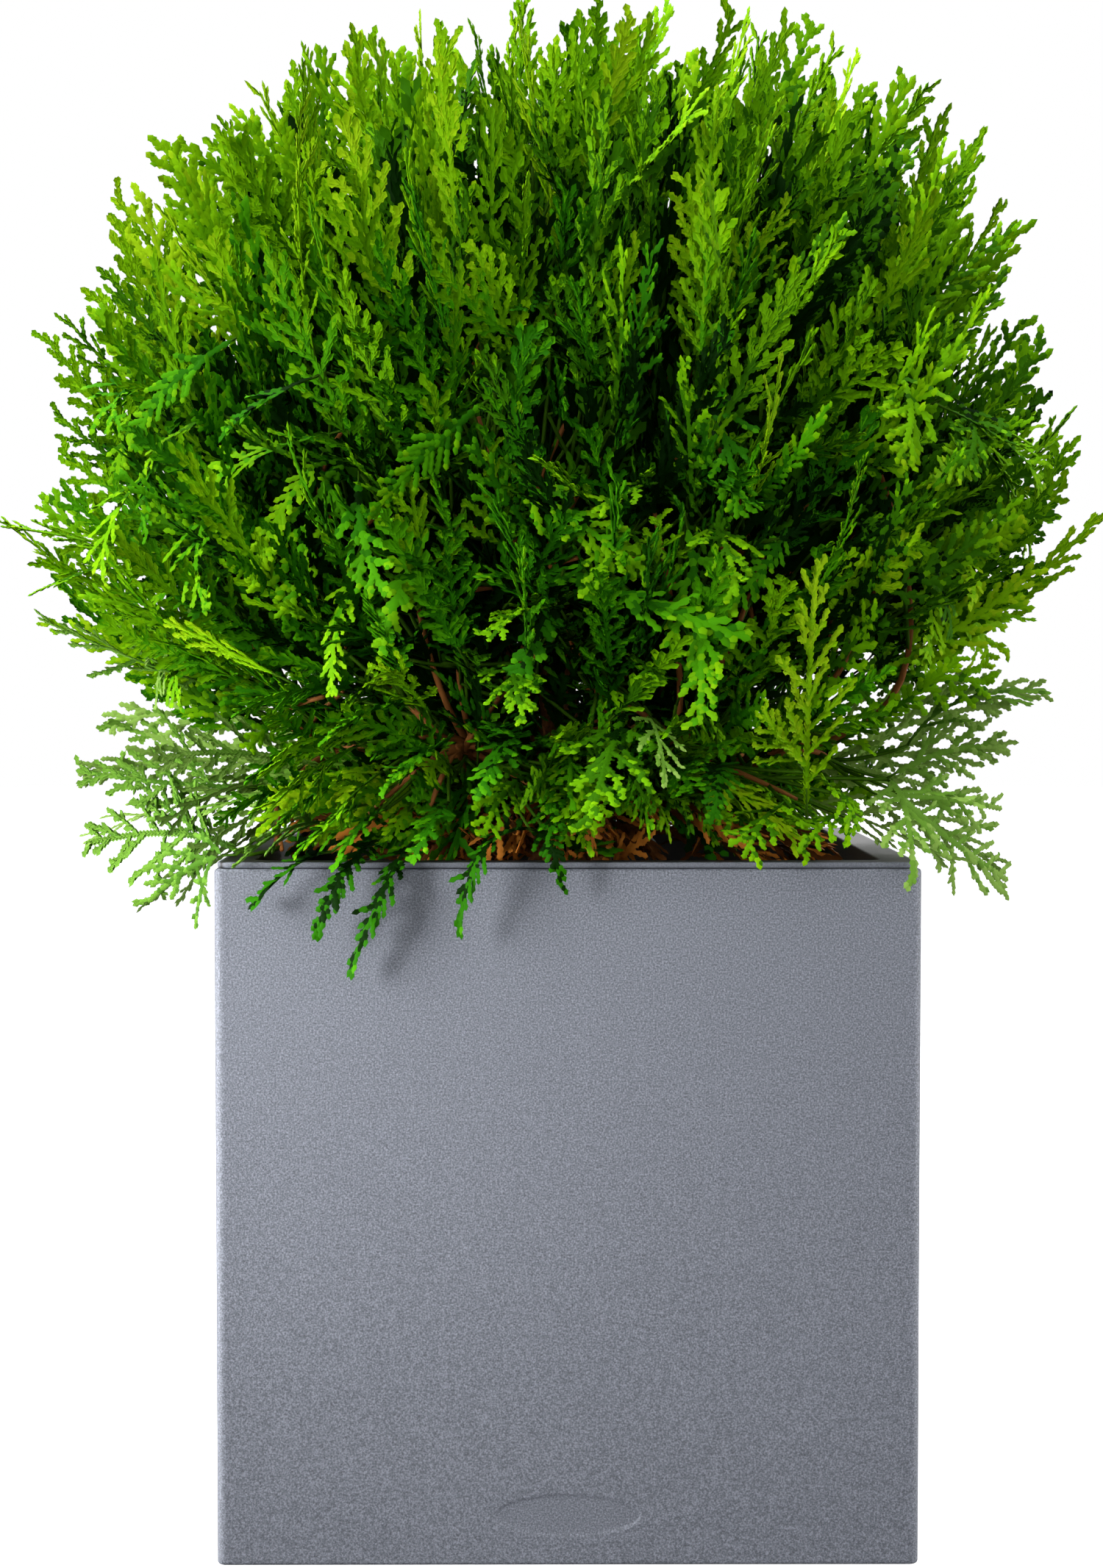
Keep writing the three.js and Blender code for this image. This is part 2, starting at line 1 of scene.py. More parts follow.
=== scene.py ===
"""Looks of a globe eastern arborvitae of the danica kind in its grey cube planter.

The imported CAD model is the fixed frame. The planter, its liner and the potting mix get finer meshes, the trunk and
boughs get bark in relief, and each mass of foliage is grown again as twigs and scale leaves by the CAD source's rule.
Lengths in this file are millimetres in the CAD model's frame (+Z up, front at -Y) until a mesh is made.
"""

from __future__ import annotations

import logging
import math
from dataclasses import dataclass, field, fields
from enum import Enum
from typing import Any, Iterable, Sequence

import bpy
import numpy as np
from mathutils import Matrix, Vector

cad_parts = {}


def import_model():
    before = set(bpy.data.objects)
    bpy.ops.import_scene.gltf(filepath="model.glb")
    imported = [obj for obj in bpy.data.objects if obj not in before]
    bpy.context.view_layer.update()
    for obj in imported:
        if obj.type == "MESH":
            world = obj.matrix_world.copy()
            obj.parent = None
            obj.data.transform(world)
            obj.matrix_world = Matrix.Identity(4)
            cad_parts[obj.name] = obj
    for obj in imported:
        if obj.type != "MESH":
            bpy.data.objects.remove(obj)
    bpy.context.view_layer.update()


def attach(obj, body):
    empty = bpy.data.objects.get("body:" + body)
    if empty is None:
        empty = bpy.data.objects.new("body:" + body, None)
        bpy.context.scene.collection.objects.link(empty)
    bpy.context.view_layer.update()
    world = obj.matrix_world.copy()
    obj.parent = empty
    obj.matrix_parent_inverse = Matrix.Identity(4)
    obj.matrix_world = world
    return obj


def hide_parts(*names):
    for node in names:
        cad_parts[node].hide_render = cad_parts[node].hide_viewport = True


Array = np.ndarray
Colour = tuple[float, float, float]

METRES = 0.001
SEED = 20417
MOST_TRIANGLES = 190_000
UP = np.array([0.0, 0.0, 1.0])
BODY = "root"

log = logging.getLogger("arborvitae")


# Small maths


def unit(vectors: Array) -> Array:
    """Returns vectors of length one along the last axis."""
    return vectors / np.maximum(np.linalg.norm(vectors, axis=-1, keepdims=True), 1e-9)


def towards(azimuth: Array, elevation: Array) -> Array:
    """Returns unit vectors: cos e cos a, cos e sin a, sin e, with both angles in radians."""
    level = np.cos(elevation)
    return np.stack([level * np.cos(azimuth), level * np.sin(azimuth), np.sin(elevation)], axis=-1)


def mixed(first: Array, second: Array, share: Array | float) -> Array:
    """Returns first plus share times the way from first to second."""
    return first + (second - first) * share


def smooth_step(low: float, high: float, value: Array) -> Array:
    """Returns 3 t squared minus 2 t cubed, with t the value's place from low to high, held to 0 and 1."""
    t = np.clip((value - low) / (high - low), 0.0, 1.0)
    return t * t * (3.0 - 2.0 * t)


def linear(red: int, green: int, blue: int) -> Colour:
    """Turns a colour as a screen shows it, 0 to 255, into the linear values that shaders take.

    Args:
        red: Screen red.
        green: Screen green.
        blue: Screen blue.

    Returns:
        Each channel c over 255 as ((c + 0.055) / 1.055) to the power 2.4, or c / 12.92 when it is dark.
    """
    parts = [channel / 255.0 for channel in (red, green, blue)]
    return tuple(c / 12.92 if c <= 0.04045 else ((c + 0.055) / 1.055) ** 2.4 for c in parts)


def bezier(controls: Sequence[Array], along: Array) -> Array:
    """Points of many Bezier curves at once.

    Each point is the sum of the control points, each times its Bernstein weight: n over k, t to the k, (1 - t) to
    the n - k.

    Args:
        controls: Control points, each an array (curves, 3).
        along: Places from 0 to 1, an array (places,) or (curves, places).

    Returns:
        Points, an array (curves, places, 3).
    """
    order = len(controls) - 1
    t = np.atleast_2d(along)[..., None]
    weights = [math.comb(order, k) * t**k * (1.0 - t) ** (order - k) for k in range(order + 1)]
    return sum(weight * control[:, None, :] for weight, control in zip(weights, controls))


class SourceNumbers:
    """Even random numbers from 0 to 1 in the same order as the CAD source draws them."""

    MASK = 0xFFFFFFFF
    STEP = 0x6D2B79F5

    def __init__(self, seed: int) -> None:
        """Starts the row of numbers at a seed."""
        self.state = seed & self.MASK

    def draw(self) -> float:
        """Draws the next number by 32-bit multiplying and mixing of the state.

        Returns:
            A number from 0 up to 1.
        """
        self.state = (self.state + self.STEP) & self.MASK
        mix = ((self.state ^ (self.state >> 15)) * (1 | self.state)) & self.MASK
        mix = ((mix + ((mix ^ (mix >> 7)) * (61 | mix))) ^ mix) & self.MASK
        return (mix ^ (mix >> 14)) / (self.MASK + 1)


# Meshes


@dataclass
class Surface:
    """Points and triangles of a mesh, in millimetres."""

    points: Array
    triangles: Array

    @staticmethod
    def joined(surfaces: Iterable[Surface]) -> Surface:
        """Joins surfaces into one by shifting each one's point numbers past those before it.

        Args:
            surfaces: Surfaces to join.

        Returns:
            One surface with all points and triangles.
        """
        parts = list(surfaces)
        starts = np.cumsum([0] + [len(part.points) for part in parts[:-1]])
        triangles = [part.triangles + start for part, start in zip(parts, starts)]
        return Surface(np.concatenate([part.points for part in parts]), np.concatenate(triangles))


def ring_faces(rings: int, sides: int) -> Array:
    """Triangles between rings of points, and to a pole before the first ring and after the last.

    Point numbers run ring by ring; the first pole and then the last pole follow all rings.

    Args:
        rings: Number of rings.
        sides: Points on a ring, counter-clockwise about the way from first ring to last.

    Returns:
        Triangles that face outwards, an array (triangles, 3).
    """
    here = np.arange(rings * sides).reshape(rings, sides)
    beside = np.roll(here, -1, axis=1)
    a, b, c, d = here[:-1], beside[:-1], beside[1:], here[1:]
    walls = np.stack([np.stack([a, b, c], -1), np.stack([a, c, d], -1)]).reshape(-1, 3)
    first, last = rings * sides, rings * sides + 1
    start = np.stack([np.full(sides, first), beside[0], here[0]], -1)
    end = np.stack([np.full(sides, last), here[-1], beside[-1]], -1)
    return np.concatenate([walls, start, end])


def swept(rings: Array) -> Surface:
    """Closed surfaces through rings of points, closed at both ends at the ring's middle.

    Args:
        rings: Points, an array (surfaces, rings, sides, 3).

    Returns:
        All the surfaces as one.
    """
    count, steps, sides = rings.shape[:3]
    poles = np.stack([rings[:, 0].mean(1), rings[:, -1].mean(1)], axis=1)
    points = np.concatenate([rings.reshape(count, steps * sides, 3), poles], axis=1)
    starts = np.arange(count)[:, None, None] * points.shape[1]
    triangles = ring_faces(steps, sides)[None] + starts
    return Surface(points.reshape(-1, 3), triangles.reshape(-1, 3))


def tubes(centres: Array, radii: Array, sides: int) -> Surface:
    """Round tubes along paths.

    Each ring's point is its centre plus its radius times (cos a times side + sin a times lift), where side is square
    to the path and to a fixed direction, and lift is square to both.

    Args:
        centres: Points of the paths, an array (tubes, steps, 3).
        radii: Radii, an array (tubes, steps) or, for relief, (tubes, steps, sides).
        sides: Points round a ring.

    Returns:
        All tubes as one surface.
    """
    way = unit(np.gradient(centres, axis=1))
    mean = unit(way.mean(axis=1, keepdims=True))
    guide = np.where(np.abs(mean[..., 2:]) < 0.7, UP, np.array([1.0, 0.2, 0.0]))
    side = unit(np.cross(guide, way))
    lift = np.cross(way, side)
    angle = np.arange(sides) * (2.0 * math.pi / sides)
    size = radii if radii.ndim == 3 else radii[..., None]
    turn = np.cos(angle)[:, None] * side[:, :, None, :] + np.sin(angle)[:, None] * lift[:, :, None, :]
    return swept(centres[:, :, None, :] + size[..., None] * turn)


class PieceMaker:
    """Makes Blender objects of surfaces and ties each one to the frame."""

    def make(
        self,
        name: str,
        surface: Surface,
        finish: bpy.types.Material,
        stands_for: Sequence[str] = (),
    ) -> bpy.types.Object:
        """Makes one piece that rides on the plant's body.

        Args:
            name: The piece's name.
            surface: Its mesh, in millimetres.
            finish: Its material.
            stands_for: CAD nodes that the piece replaces.

        Returns:
            The new object.
        """
        mesh = bpy.data.meshes.new(name)
        count = len(surface.triangles)
        mesh.vertices.add(len(surface.points))
        mesh.vertices.foreach_set("co", (surface.points * METRES).astype(np.float32).ravel())
        mesh.loops.add(3 * count)
        mesh.loops.foreach_set("vertex_index", surface.triangles.astype(np.int32).ravel())
        mesh.polygons.add(count)
        mesh.polygons.foreach_set("loop_start", np.arange(0, 3 * count, 3, dtype=np.int32))
        mesh.update(calc_edges=True)
        mesh.shade_smooth()
        mesh.materials.append(finish)
        piece = bpy.data.objects.new(name, mesh)
        bpy.context.scene.collection.objects.link(piece)
        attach(piece, BODY)
        if stands_for:
            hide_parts(*stands_for)
        log.info("%s: %d triangles", name, count)
        return piece


# Shader maths


class Value:
    """A number on a shader's socket. Python's operators on it add Math nodes."""

    def __init__(self, graph: Graph, socket: bpy.types.NodeSocket) -> None:
        """Wraps a socket of a graph."""
        self.graph = graph
        self.socket = socket

    def math(self, operation: str, first: Any, second: Any = 0.0) -> Value:
        """Adds one Math node.

        Args:
            operation: The node's operation.
            first: Its first number or value.
            second: Its second number or value.

        Returns:
            The result as a value.
        """
        node = self.graph.node("ShaderNodeMath", {"operation": operation}, {0: first, 1: second})
        return Value(self.graph, node.outputs[0])

    def __add__(self, other: Any) -> Value:
        """Returns self plus other."""
        return self.math("ADD", self, other)

    __radd__ = __add__

    def __sub__(self, other: Any) -> Value:
        """Returns self minus other."""
        return self.math("SUBTRACT", self, other)

    def __rsub__(self, other: Any) -> Value:
        """Returns other minus self."""
        return self.math("SUBTRACT", other, self)

    def __mul__(self, other: Any) -> Value:
        """Returns self times other."""
        return self.math("MULTIPLY", self, other)

    __rmul__ = __mul__

    def at_least(self, low: float) -> Value:
        """Returns the larger of self and low."""
        return self.math("MAXIMUM", self, low)

    def at_most(self, high: float) -> Value:
        """Returns the smaller of self and high."""
        return self.math("MINIMUM", self, high)

    def between(self, low: float, high: float) -> Value:
        """Returns self's place from low to high, held to 0 and 1."""
        return ((self - low) * (1.0 / (high - low))).at_least(0.0).at_most(1.0)


class Graph:
    """The nodes of one material or of the world."""

    def __init__(self, tree: bpy.types.NodeTree) -> None:
        """Empties a node tree to build on."""
        self.tree = tree
        tree.nodes.clear()

    def node(
        self,
        kind: str,
        settings: dict[str, Any] | None = None,
        inputs: dict[Any, Any] | None = None,
    ) -> bpy.types.Node:
        """Adds any node.

        Args:
            kind: The node's type.
            settings: Its settings, such as a Math node's operation, which are set first.
            inputs: Values or links of its sockets, by name or number.

        Returns:
            The new node.
        """
        node = self.tree.nodes.new(kind)
        for name, value in (settings or {}).items():
            setattr(node, name, value)
        for name, value in (inputs or {}).items():
            socket = value.socket if isinstance(value, Value) else value
            if isinstance(socket, bpy.types.NodeSocket):
                self.tree.links.new(socket, node.inputs[name])
            else:
                node.inputs[name].default_value = socket
        return node

    def place(self, stretch: tuple[float, float, float] = (1.0, 1.0, 1.0)) -> bpy.types.NodeSocket:
        """Returns the point on the object, stretched by a Mapping node."""
        spot = self.node("ShaderNodeTexCoord").outputs["Object"]
        return self.node("ShaderNodeMapping", None, {"Vector": spot, "Scale": stretch}).outputs[0]

    def noise(self, spot: bpy.types.NodeSocket, size: float, detail: float = 2.0, rough: float = 0.5) -> Value:
        """Adds cloudy noise.

        Args:
            spot: Where it is read.
            size: Size of its features in millimetres.
            detail: How many finer layers it has.
            rough: How strong those are.

        Returns:
            The noise, about 0.5 in the middle.
        """
        inputs = {"Vector": spot, "Scale": 1000.0 / size, "Detail": detail, "Roughness": rough}
        return Value(self, self.node("ShaderNodeTexNoise", None, inputs).outputs[0])

    def cells(self, spot: bpy.types.NodeSocket, size: float) -> Value:
        """Adds the distance to the middle of random cells of a size in millimetres."""
        inputs = {"Vector": spot, "Scale": 1000.0 / size}
        return Value(self, self.node("ShaderNodeTexVoronoi", None, inputs).outputs["Distance"])

    def half_width(self, spot: bpy.types.NodeSocket) -> Value:
        """How far a point lies from the two upright middle planes.

        Args:
            spot: The point.

        Returns:
            The larger of the two distances, in metres.
        """
        parts = self.node("ShaderNodeSeparateXYZ", None, {0: spot})
        across, deep = [Value(self, part).math("ABSOLUTE", part) for part in parts.outputs[:2]]
        return across.math("MAXIMUM", across, deep)

    def blend(self, share: Value, first: Any, second: Any) -> bpy.types.NodeSocket:
        """Mixes two colours.

        Args:
            share: How much of the second.
            first: A colour or a link.
            second: A colour or a link.

        Returns:
            The mixed colour's socket.
        """
        parts = [(*part, 1.0) if isinstance(part, tuple) else part for part in (first, second)]
        inputs = {0: share, 6: parts[0], 7: parts[1]}
        return self.node("ShaderNodeMix", {"data_type": "RGBA"}, inputs).outputs[2]

    def bump(self, height: Value, depth: float) -> bpy.types.NodeSocket:
        """Returns the normal of a relief that is depth millimetres high."""
        inputs = {"Height": height, "Distance": depth * METRES, "Strength": 1.0}
        return self.node("ShaderNodeBump", None, inputs).outputs[0]

    def shade(self, inputs: dict[str, Any]) -> None:
        """Ends a material in a Principled shader with these inputs."""
        shader = self.node("ShaderNodeBsdfPrincipled", None, inputs)
        self.node("ShaderNodeOutputMaterial", None, {"Surface": shader.outputs[0]})


def new_material(name: str) -> tuple[bpy.types.Material, Graph]:
    """Makes an empty material.

    Args:
        name: Its name.

    Returns:
        The material and its graph.
    """
    material = bpy.data.materials.new(name)
    material.use_nodes = True
    return material, Graph(material.node_tree)


@dataclass(frozen=True)
class GrainedPlastic:
    """Matte plastic with a fine cast grain, light flecks and dark pits; inside a half width, if given, it is painted
    dark as shade.
    """

    name: str
    colour: Colour
    fleck: Colour
    pit: Colour
    grain: float = 0.75
    depth: float = 0.26
    painted_shade_inside: float = 0.0
    # Colour of the painted shade inside the half width.
    painted_shade: Colour = linear(30, 27, 25)

    def build(self) -> bpy.types.Material:
        """Makes the material: the grain's peaks are lighter, its pits darker, and it stands out as bump.

        Returns:
            The material.
        """
        material, graph = new_material(self.name)
        spot = graph.place()
        grain = graph.noise(spot, self.grain, 3.0, 0.62)
        lumps = graph.cells(spot, 1.6 * self.grain)
        fine = graph.noise(spot, 0.4 * self.grain, 1.0)
        broad = graph.noise(spot, 60.0, 2.0)
        tinted = graph.blend(broad.between(0.3, 0.7), self.colour, tuple(0.96 * c for c in self.colour))
        flecked = graph.blend(grain.between(0.5, 0.68), tinted, self.fleck)
        colour = graph.blend((1.0 - grain).between(0.5, 0.66) * fine.between(0.25, 0.5), flecked, self.pit)
        # Painted shade: inside the half width the colour turns dark, as the shade inside the liner.
        if self.painted_shade_inside:
            edge = self.painted_shade_inside * METRES
            unshaded_share = graph.half_width(spot).between(edge, edge + 0.001)
            colour = graph.blend(unshaded_share, self.painted_shade, colour)
        height = grain * 0.7 + (1.0 - lumps) * 0.3 + fine * 0.2
        normal = graph.bump(height, self.depth)
        rough = 0.5 + 0.16 * grain
        graph.shade({"Base Color": colour, "Roughness": rough, "Specular IOR Level": 0.42, "Normal": normal})
        return material


@dataclass(frozen=True)
class PottingMix:
    """Dark crumbly potting mix."""

    name: str = "potting_mix"
    dark: Colour = linear(26, 20, 15)
    light: Colour = linear(74, 56, 40)

    def build(self) -> bpy.types.Material:
        """Makes the material: crumbs of two browns, rough all over.

        Returns:
            The material.
        """
        material, graph = new_material(self.name)
        spot = graph.place()
        crumbs = graph.cells(spot, 5.0)
        cloud = graph.noise(spot, 9.0, 4.0, 0.6)
        colour = graph.blend(cloud.between(0.35, 0.7), self.dark, self.light)
        normal = graph.bump(cloud * 0.6 + (1.0 - crumbs) * 0.4, 1.6)
        graph.shade({"Base Color": colour, "Roughness": 0.95, "Specular IOR Level": 0.1, "Normal": normal})
        return material


@dataclass(frozen=True)
class Bark:
    """Red-brown bark that peels in thin upright strips."""

    name: str = "bark"
    dark: Colour = linear(62, 38, 18)
    warm: Colour = linear(138, 86, 42)
    grey: Colour = linear(140, 112, 78)

    def build(self) -> bpy.types.Material:
        """Makes the material: noise drawn out along the stem gives strips, a broad one the grey weathering.

        Returns:
            The material.
        """
        material, graph = new_material(self.name)
        strips = graph.noise(graph.place((1.0, 1.0, 0.16)), 2.6, 4.0, 0.65)
        broad = graph.noise(graph.place(), 22.0, 2.0)
        brown = graph.blend(strips.between(0.34, 0.66), self.dark, self.warm)
        colour = graph.blend(broad.between(0.55, 0.8) * 0.5, brown, self.grey)
        normal = graph.bump(strips, 0.7)
        graph.shade({"Base Color": colour, "Roughness": 0.85, "Specular IOR Level": 0.15, "Normal": normal})
        return material


@dataclass(frozen=True)
class PlainFinish:
    """One plain colour, dealt out to leaves, twigs or chips of one kind."""

    colour: Colour
    rough: float = 0.6
    gloss: float = 0.03

    def build(self, name: str) -> bpy.types.Material:
        """Makes the material.

        Args:
            name: Its name.

        Returns:
            The material.
        """
        material, graph = new_material(name)
        inputs = {"Base Color": (*self.colour, 1.0), "Roughness": self.rough, "Specular IOR Level": self.gloss}
        graph.shade(inputs)
        return material


class Kind(Enum):
    """Kinds of leaf by colour, from the darkest, which paints the shade inside the crown, to the lightest, the young
    tips' own colour with painted light through them; then greener, bluish and dead ones.
    """

    SHADE = 0
    MOSS = 1
    LEAF = 2
    FRESH = 3
    BRIGHT = 4
    DEEP = 5
    GREEN = 6
    BLUISH_DEEP = 7
    BLUISH = 8
    BLUISH_PALE = 9
    DEAD = 10
    DRY = 11


class Family(Enum):
    """Families of sprays, each with its five kinds of leaf from the darkest tone to the lightest."""

    WARM = (Kind.SHADE, Kind.MOSS, Kind.LEAF, Kind.FRESH, Kind.BRIGHT)
    # Greener kinds, dealt where the crown is shaded: their hue is painted shade.
    GREEN = (Kind.SHADE, Kind.DEEP, Kind.GREEN, Kind.LEAF, Kind.FRESH)
    BLUISH = (Kind.BLUISH_DEEP, Kind.BLUISH_DEEP, Kind.BLUISH, Kind.BLUISH, Kind.BLUISH_PALE)
    DEAD = (Kind.DRY, Kind.DRY, Kind.DEAD, Kind.DEAD, Kind.DEAD)

    @property
    def number(self) -> int:
        """Returns the family's place in the row of families."""
        return list(Family).index(self)

    @staticmethod
    def table() -> Array:
        """Returns the kinds' numbers, one row for each family."""
        return np.array([[kind.value for kind in family.value] for family in Family])


# SHADE paints the shade inside the crown; FRESH and BRIGHT are partly painted light shining through young tips.
LEAF_FINISHES = {
    Kind.SHADE: PlainFinish(linear(8, 35, 1)),
    Kind.MOSS: PlainFinish(linear(51, 103, 3)),
    Kind.LEAF: PlainFinish(linear(98, 156, 4)),
    Kind.FRESH: PlainFinish(linear(120, 174, 5)),
    Kind.BRIGHT: PlainFinish(linear(144, 186, 14)),
    Kind.DEEP: PlainFinish(linear(36, 98, 3)),
    Kind.GREEN: PlainFinish(linear(66, 136, 4)),
    Kind.BLUISH_DEEP: PlainFinish(linear(70, 113, 30)),
    Kind.BLUISH: PlainFinish(linear(100, 144, 47)),
    Kind.BLUISH_PALE: PlainFinish(linear(131, 168, 74)),
    Kind.DEAD: PlainFinish(linear(196, 122, 46), 0.75),
    Kind.DRY: PlainFinish(linear(96, 58, 26), 0.75),
}
TWIG_FINISH = PlainFinish(linear(118, 72, 32), 0.75, 0.1)
SHOOT_FINISH = PlainFinish(linear(50, 84, 8), 0.6, 0.04)
CHIP_FINISHES = {
    "chips_dark": PlainFinish(linear(58, 38, 24), 0.9),
    "chips_tan": PlainFinish(linear(176, 122, 66), 0.85),
}


# Planter


@dataclass(frozen=True)
class Profile:
    """Rounded-square rings from one pole to the other: half width, corner radius and height of each."""

    half: Array
    corner: Array
    height: Array

    @staticmethod
    def of(steps: Sequence[tuple[float, float, float]]) -> Profile:
        """Returns a profile from rows of half width, corner radius and height."""
        half, corner, height = np.array(steps, float).T
        return Profile(half, corner, height)


@dataclass(frozen=True)
class SquareRing:
    """Places round a rounded square, as shares of its straight sides and directions of its corner arcs.

    A point is (half - corner) times the share plus corner times the direction. Every ring has the same places, so
    rings of any size join into one surface.
    """

    arc_steps: int = 8
    edge_share: float = 0.994
    middle: tuple[float, ...] = (-0.7, 0.0, 0.7)
    front: tuple[float, ...] = ()

    def side(self, turn: int) -> Array:
        """Places on one straight side and the corner after it.

        Args:
            turn: Quarter turns from the front side.

        Returns:
            Rows of share x, share y, direction x, direction y.
        """
        middle = self.front if turn == 0 and self.front else self.middle
        shares = np.array([-self.edge_share, *middle, self.edge_share])
        flat = np.stack([shares, -np.ones_like(shares), 0 * shares, -np.ones_like(shares)], axis=1)
        angle = np.linspace(-math.pi / 2, 0.0, self.arc_steps + 1)
        arc = np.stack([np.ones_like(angle), -np.ones_like(angle), np.cos(angle), np.sin(angle)], axis=1)
        rows = np.concatenate([flat, arc])
        cosine, sine = math.cos(turn * math.pi / 2), math.sin(turn * math.pi / 2)
        spin = np.array([[cosine, sine], [-sine, cosine]])
        return np.concatenate([rows[:, :2] @ spin, rows[:, 2:] @ spin], axis=1)

    def rings(self, profile: Profile) -> Array:
        """Points of all rings of a profile.

        Args:
            profile: The rings' sizes and heights.

        Returns:
            Points, an array (rings, places, 3).
        """
        rows = np.concatenate([self.side(turn) for turn in range(4)])
        straight = (profile.half - profile.corner)[:, None, None] * rows[None, :, :2]
        level = straight + profile.corner[:, None, None] * rows[None, :, 2:]
        height = np.broadcast_to(profile.height[:, None, None], (*level.shape[:2], 1))
        return np.concatenate([level, height], axis=2)


def fillet(
    half: float,
    corner: float,
    height: float,
    radius: float,
    top: bool,
    outside: bool = True,
) -> list[tuple[float, float, float]]:
    """Rows of a profile round an edge: a quarter circle about a point a radius in from both faces.

    Args:
        half: Half width of the wall that meets the edge.
        corner: Corner radius of that wall.
        height: Height of the flat face that meets the edge.
        radius: The edge's radius.
        top: Whether the flat face looks up.
        outside: Whether the wall looks outwards.

    Returns:
        Rows of half width, corner radius and height, in the order in which a profile passes them.
    """
    angle = np.linspace(0.0, math.pi / 2, 6)
    inset = radius * (1.0 - np.cos(angle))
    drop = radius * (1.0 - np.sin(angle))
    way = 1.0 if outside else -1.0
    rows = [(half - way * i, corner - way * i, height - d if top else height + d) for i, d in zip(inset, drop)]
    return rows if top == outside else rows[::-1]


@dataclass
class Planter:
    """Cube planter: shell with a shallow bare oval on the front, liner, and potting mix with chips."""

    width: float = 300.0
    base_width: float = 299.4
    height: float = 297.6
    corner: float = 4.0
    edge: float = 1.4
    wall: float = 5.0
    floor: float = 6.0
    lip_width: float = 12.0
    lip_depth: float = 8.0
    oval: tuple[float, float, float, float] = (63.0, 18.4, 21.5, 0.5)
    oval_step: float = 0.7
    rim_inset: float = 1.0
    rim_height: float = 2.5
    rim_edge: float = 0.7
    gap: float = 0.3
    liner_wall: float = 3.5
    liner_floor_z: float = 24.0
    liner_floor: float = 4.0
    liner_corner: float = 7.0
    soil_below_rim: float = 21.0
    soil_relief: float = 2.6
    chips: int = 460
    chip_sizes: tuple[tuple[float, float], ...] = ((3.5, 11.0), (2.0, 5.0), (0.5, 1.2))
    plastic: GrainedPlastic = GrainedPlastic(
        "planter_plastic", linear(111, 115, 125), linear(144, 148, 160), linear(75, 79, 87)
    )
    # Its inside is painted dark as shade.
    liner_plastic: GrainedPlastic = GrainedPlastic(
        "liner_plastic", linear(104, 108, 117), linear(116, 120, 130), linear(86, 89, 97), 0.7, 0.1, 147.0
    )

    @property
    def soil_top(self) -> float:
        """Height of the potting mix."""
        return self.height + self.rim_height - self.soil_below_rim

    def half_at(self, height: float) -> float:
        """Returns the shell's half width at a height: it narrows evenly towards the foot."""
        return mixed(self.base_width, self.width, height / self.height) / 2

    def shell_profile(self) -> Profile:
        """Rings of the shell from the middle of its underside, up its wall and back down inside.

        Returns:
            The profile.
        """
        foot, head = self.half_at(0.0), self.half_at(self.height)
        edge, corner = self.edge, self.corner
        rows = [(4.0, 0.5, 0.0), (foot - edge - 1.0, corner, 0.0)]
        rows += fillet(foot, corner, 0.0, edge, top=False)
        oval_rows = np.arange(self.oval[2] - 12.6, self.oval[2] + 12.7, self.oval_step)
        heights = [edge + 0.6, 5.0, *oval_rows, 40.0, 90.0, 150.0, 210.0, 260.0, 286.0, self.height - edge - 0.6]
        rows += [(self.half_at(z), corner, z) for z in heights]
        rows += fillet(head, corner, self.height, edge, top=True)
        mouth, inner = head - self.lip_width, foot - self.wall
        rows += [(head - edge - 0.6, corner - edge, self.height), (mouth + 1.4, self.liner_corner, self.height)]
        rows += fillet(mouth, self.liner_corner, self.height, 0.6, top=True, outside=False)
        under = self.height - self.lip_depth
        rows += [(mouth, self.liner_corner, under), (inner, corner, under), (inner, corner, self.floor)]
        rows += [(4.0, 0.5, self.floor)]
        return Profile.of(rows)

    def sunk_oval(self, points: Array) -> Array:
        """Sinks the oval into the front face.

        With e the point's size in the oval's own radii, (1 - e) over e's slope is about its distance inside the
        edge; the sink is the depth times a smooth step of that distance.

        Args:
            points: Points of the shell, any shape ending in 3.

        Returns:
            The points, those in the oval moved inwards.
        """
        wide, high, centre, depth = self.oval
        x, z = points[..., 0], points[..., 2] - centre
        size = np.sqrt((2 * x / wide) ** 2 + (2 * z / high) ** 2)
        slope = np.sqrt((x * (2 / wide) ** 2) ** 2 + (z * (2 / high) ** 2) ** 2) / np.maximum(size, 1e-6)
        inside = (1.0 - size) / np.maximum(slope, 1e-6)
        on_front = points[..., 1] < -self.base_width / 2 + 0.5
        moved = points.copy()
        moved[..., 1] += np.where(on_front, depth * smooth_step(0.0, 1.1, inside), 0.0)
        return moved

    def shell(self) -> Surface:
        """Builds the shell's surface.

        Returns:
            The surface.
        """
        straight = self.width / 2 - self.corner
        grid = np.arange(-35.0, 35.1, self.oval_step) / straight
        ring = SquareRing(front=(-0.7, -0.4, *grid, 0.4, 0.7))
        points = ring.rings(self.shell_profile())
        return swept(self.sunk_oval(points)[None])

    def liner(self) -> Surface:
        """Builds the liner, which hangs by its rim on the shell's lip.

        Returns:
            The surface.
        """
        body = self.width / 2 - self.lip_width - self.gap
        rim = self.width / 2 - self.rim_inset
        room = body - self.liner_wall
        seat = self.height + self.gap
        top = seat + self.rim_height
        corner = self.liner_corner
        rows = [(4.0, 0.5, self.liner_floor_z), (body - 1.0, corner, self.liner_floor_z)]
        rows += [(body, corner, self.liner_floor_z + 1.0), (body, corner, seat - 1.0), (body, corner, seat)]
        rows += [(rim - 0.4, corner, seat), (rim, corner, seat + 0.4)]
        rows += fillet(rim, corner, top, self.rim_edge, top=True)
        rows += [(rim - 1.4, corner, top), (room + 1.4, corner, top)]
        rows += fillet(room, corner, top, self.rim_edge, top=True, outside=False)
        floor = self.liner_floor_z + self.liner_floor
        rows += [(room, corner, top - 1.6), (room, corner, floor + 1.0), (room - 1.0, corner, floor), (4.0, 0.5, floor)]
        return swept(SquareRing().rings(Profile.of(rows))[None])

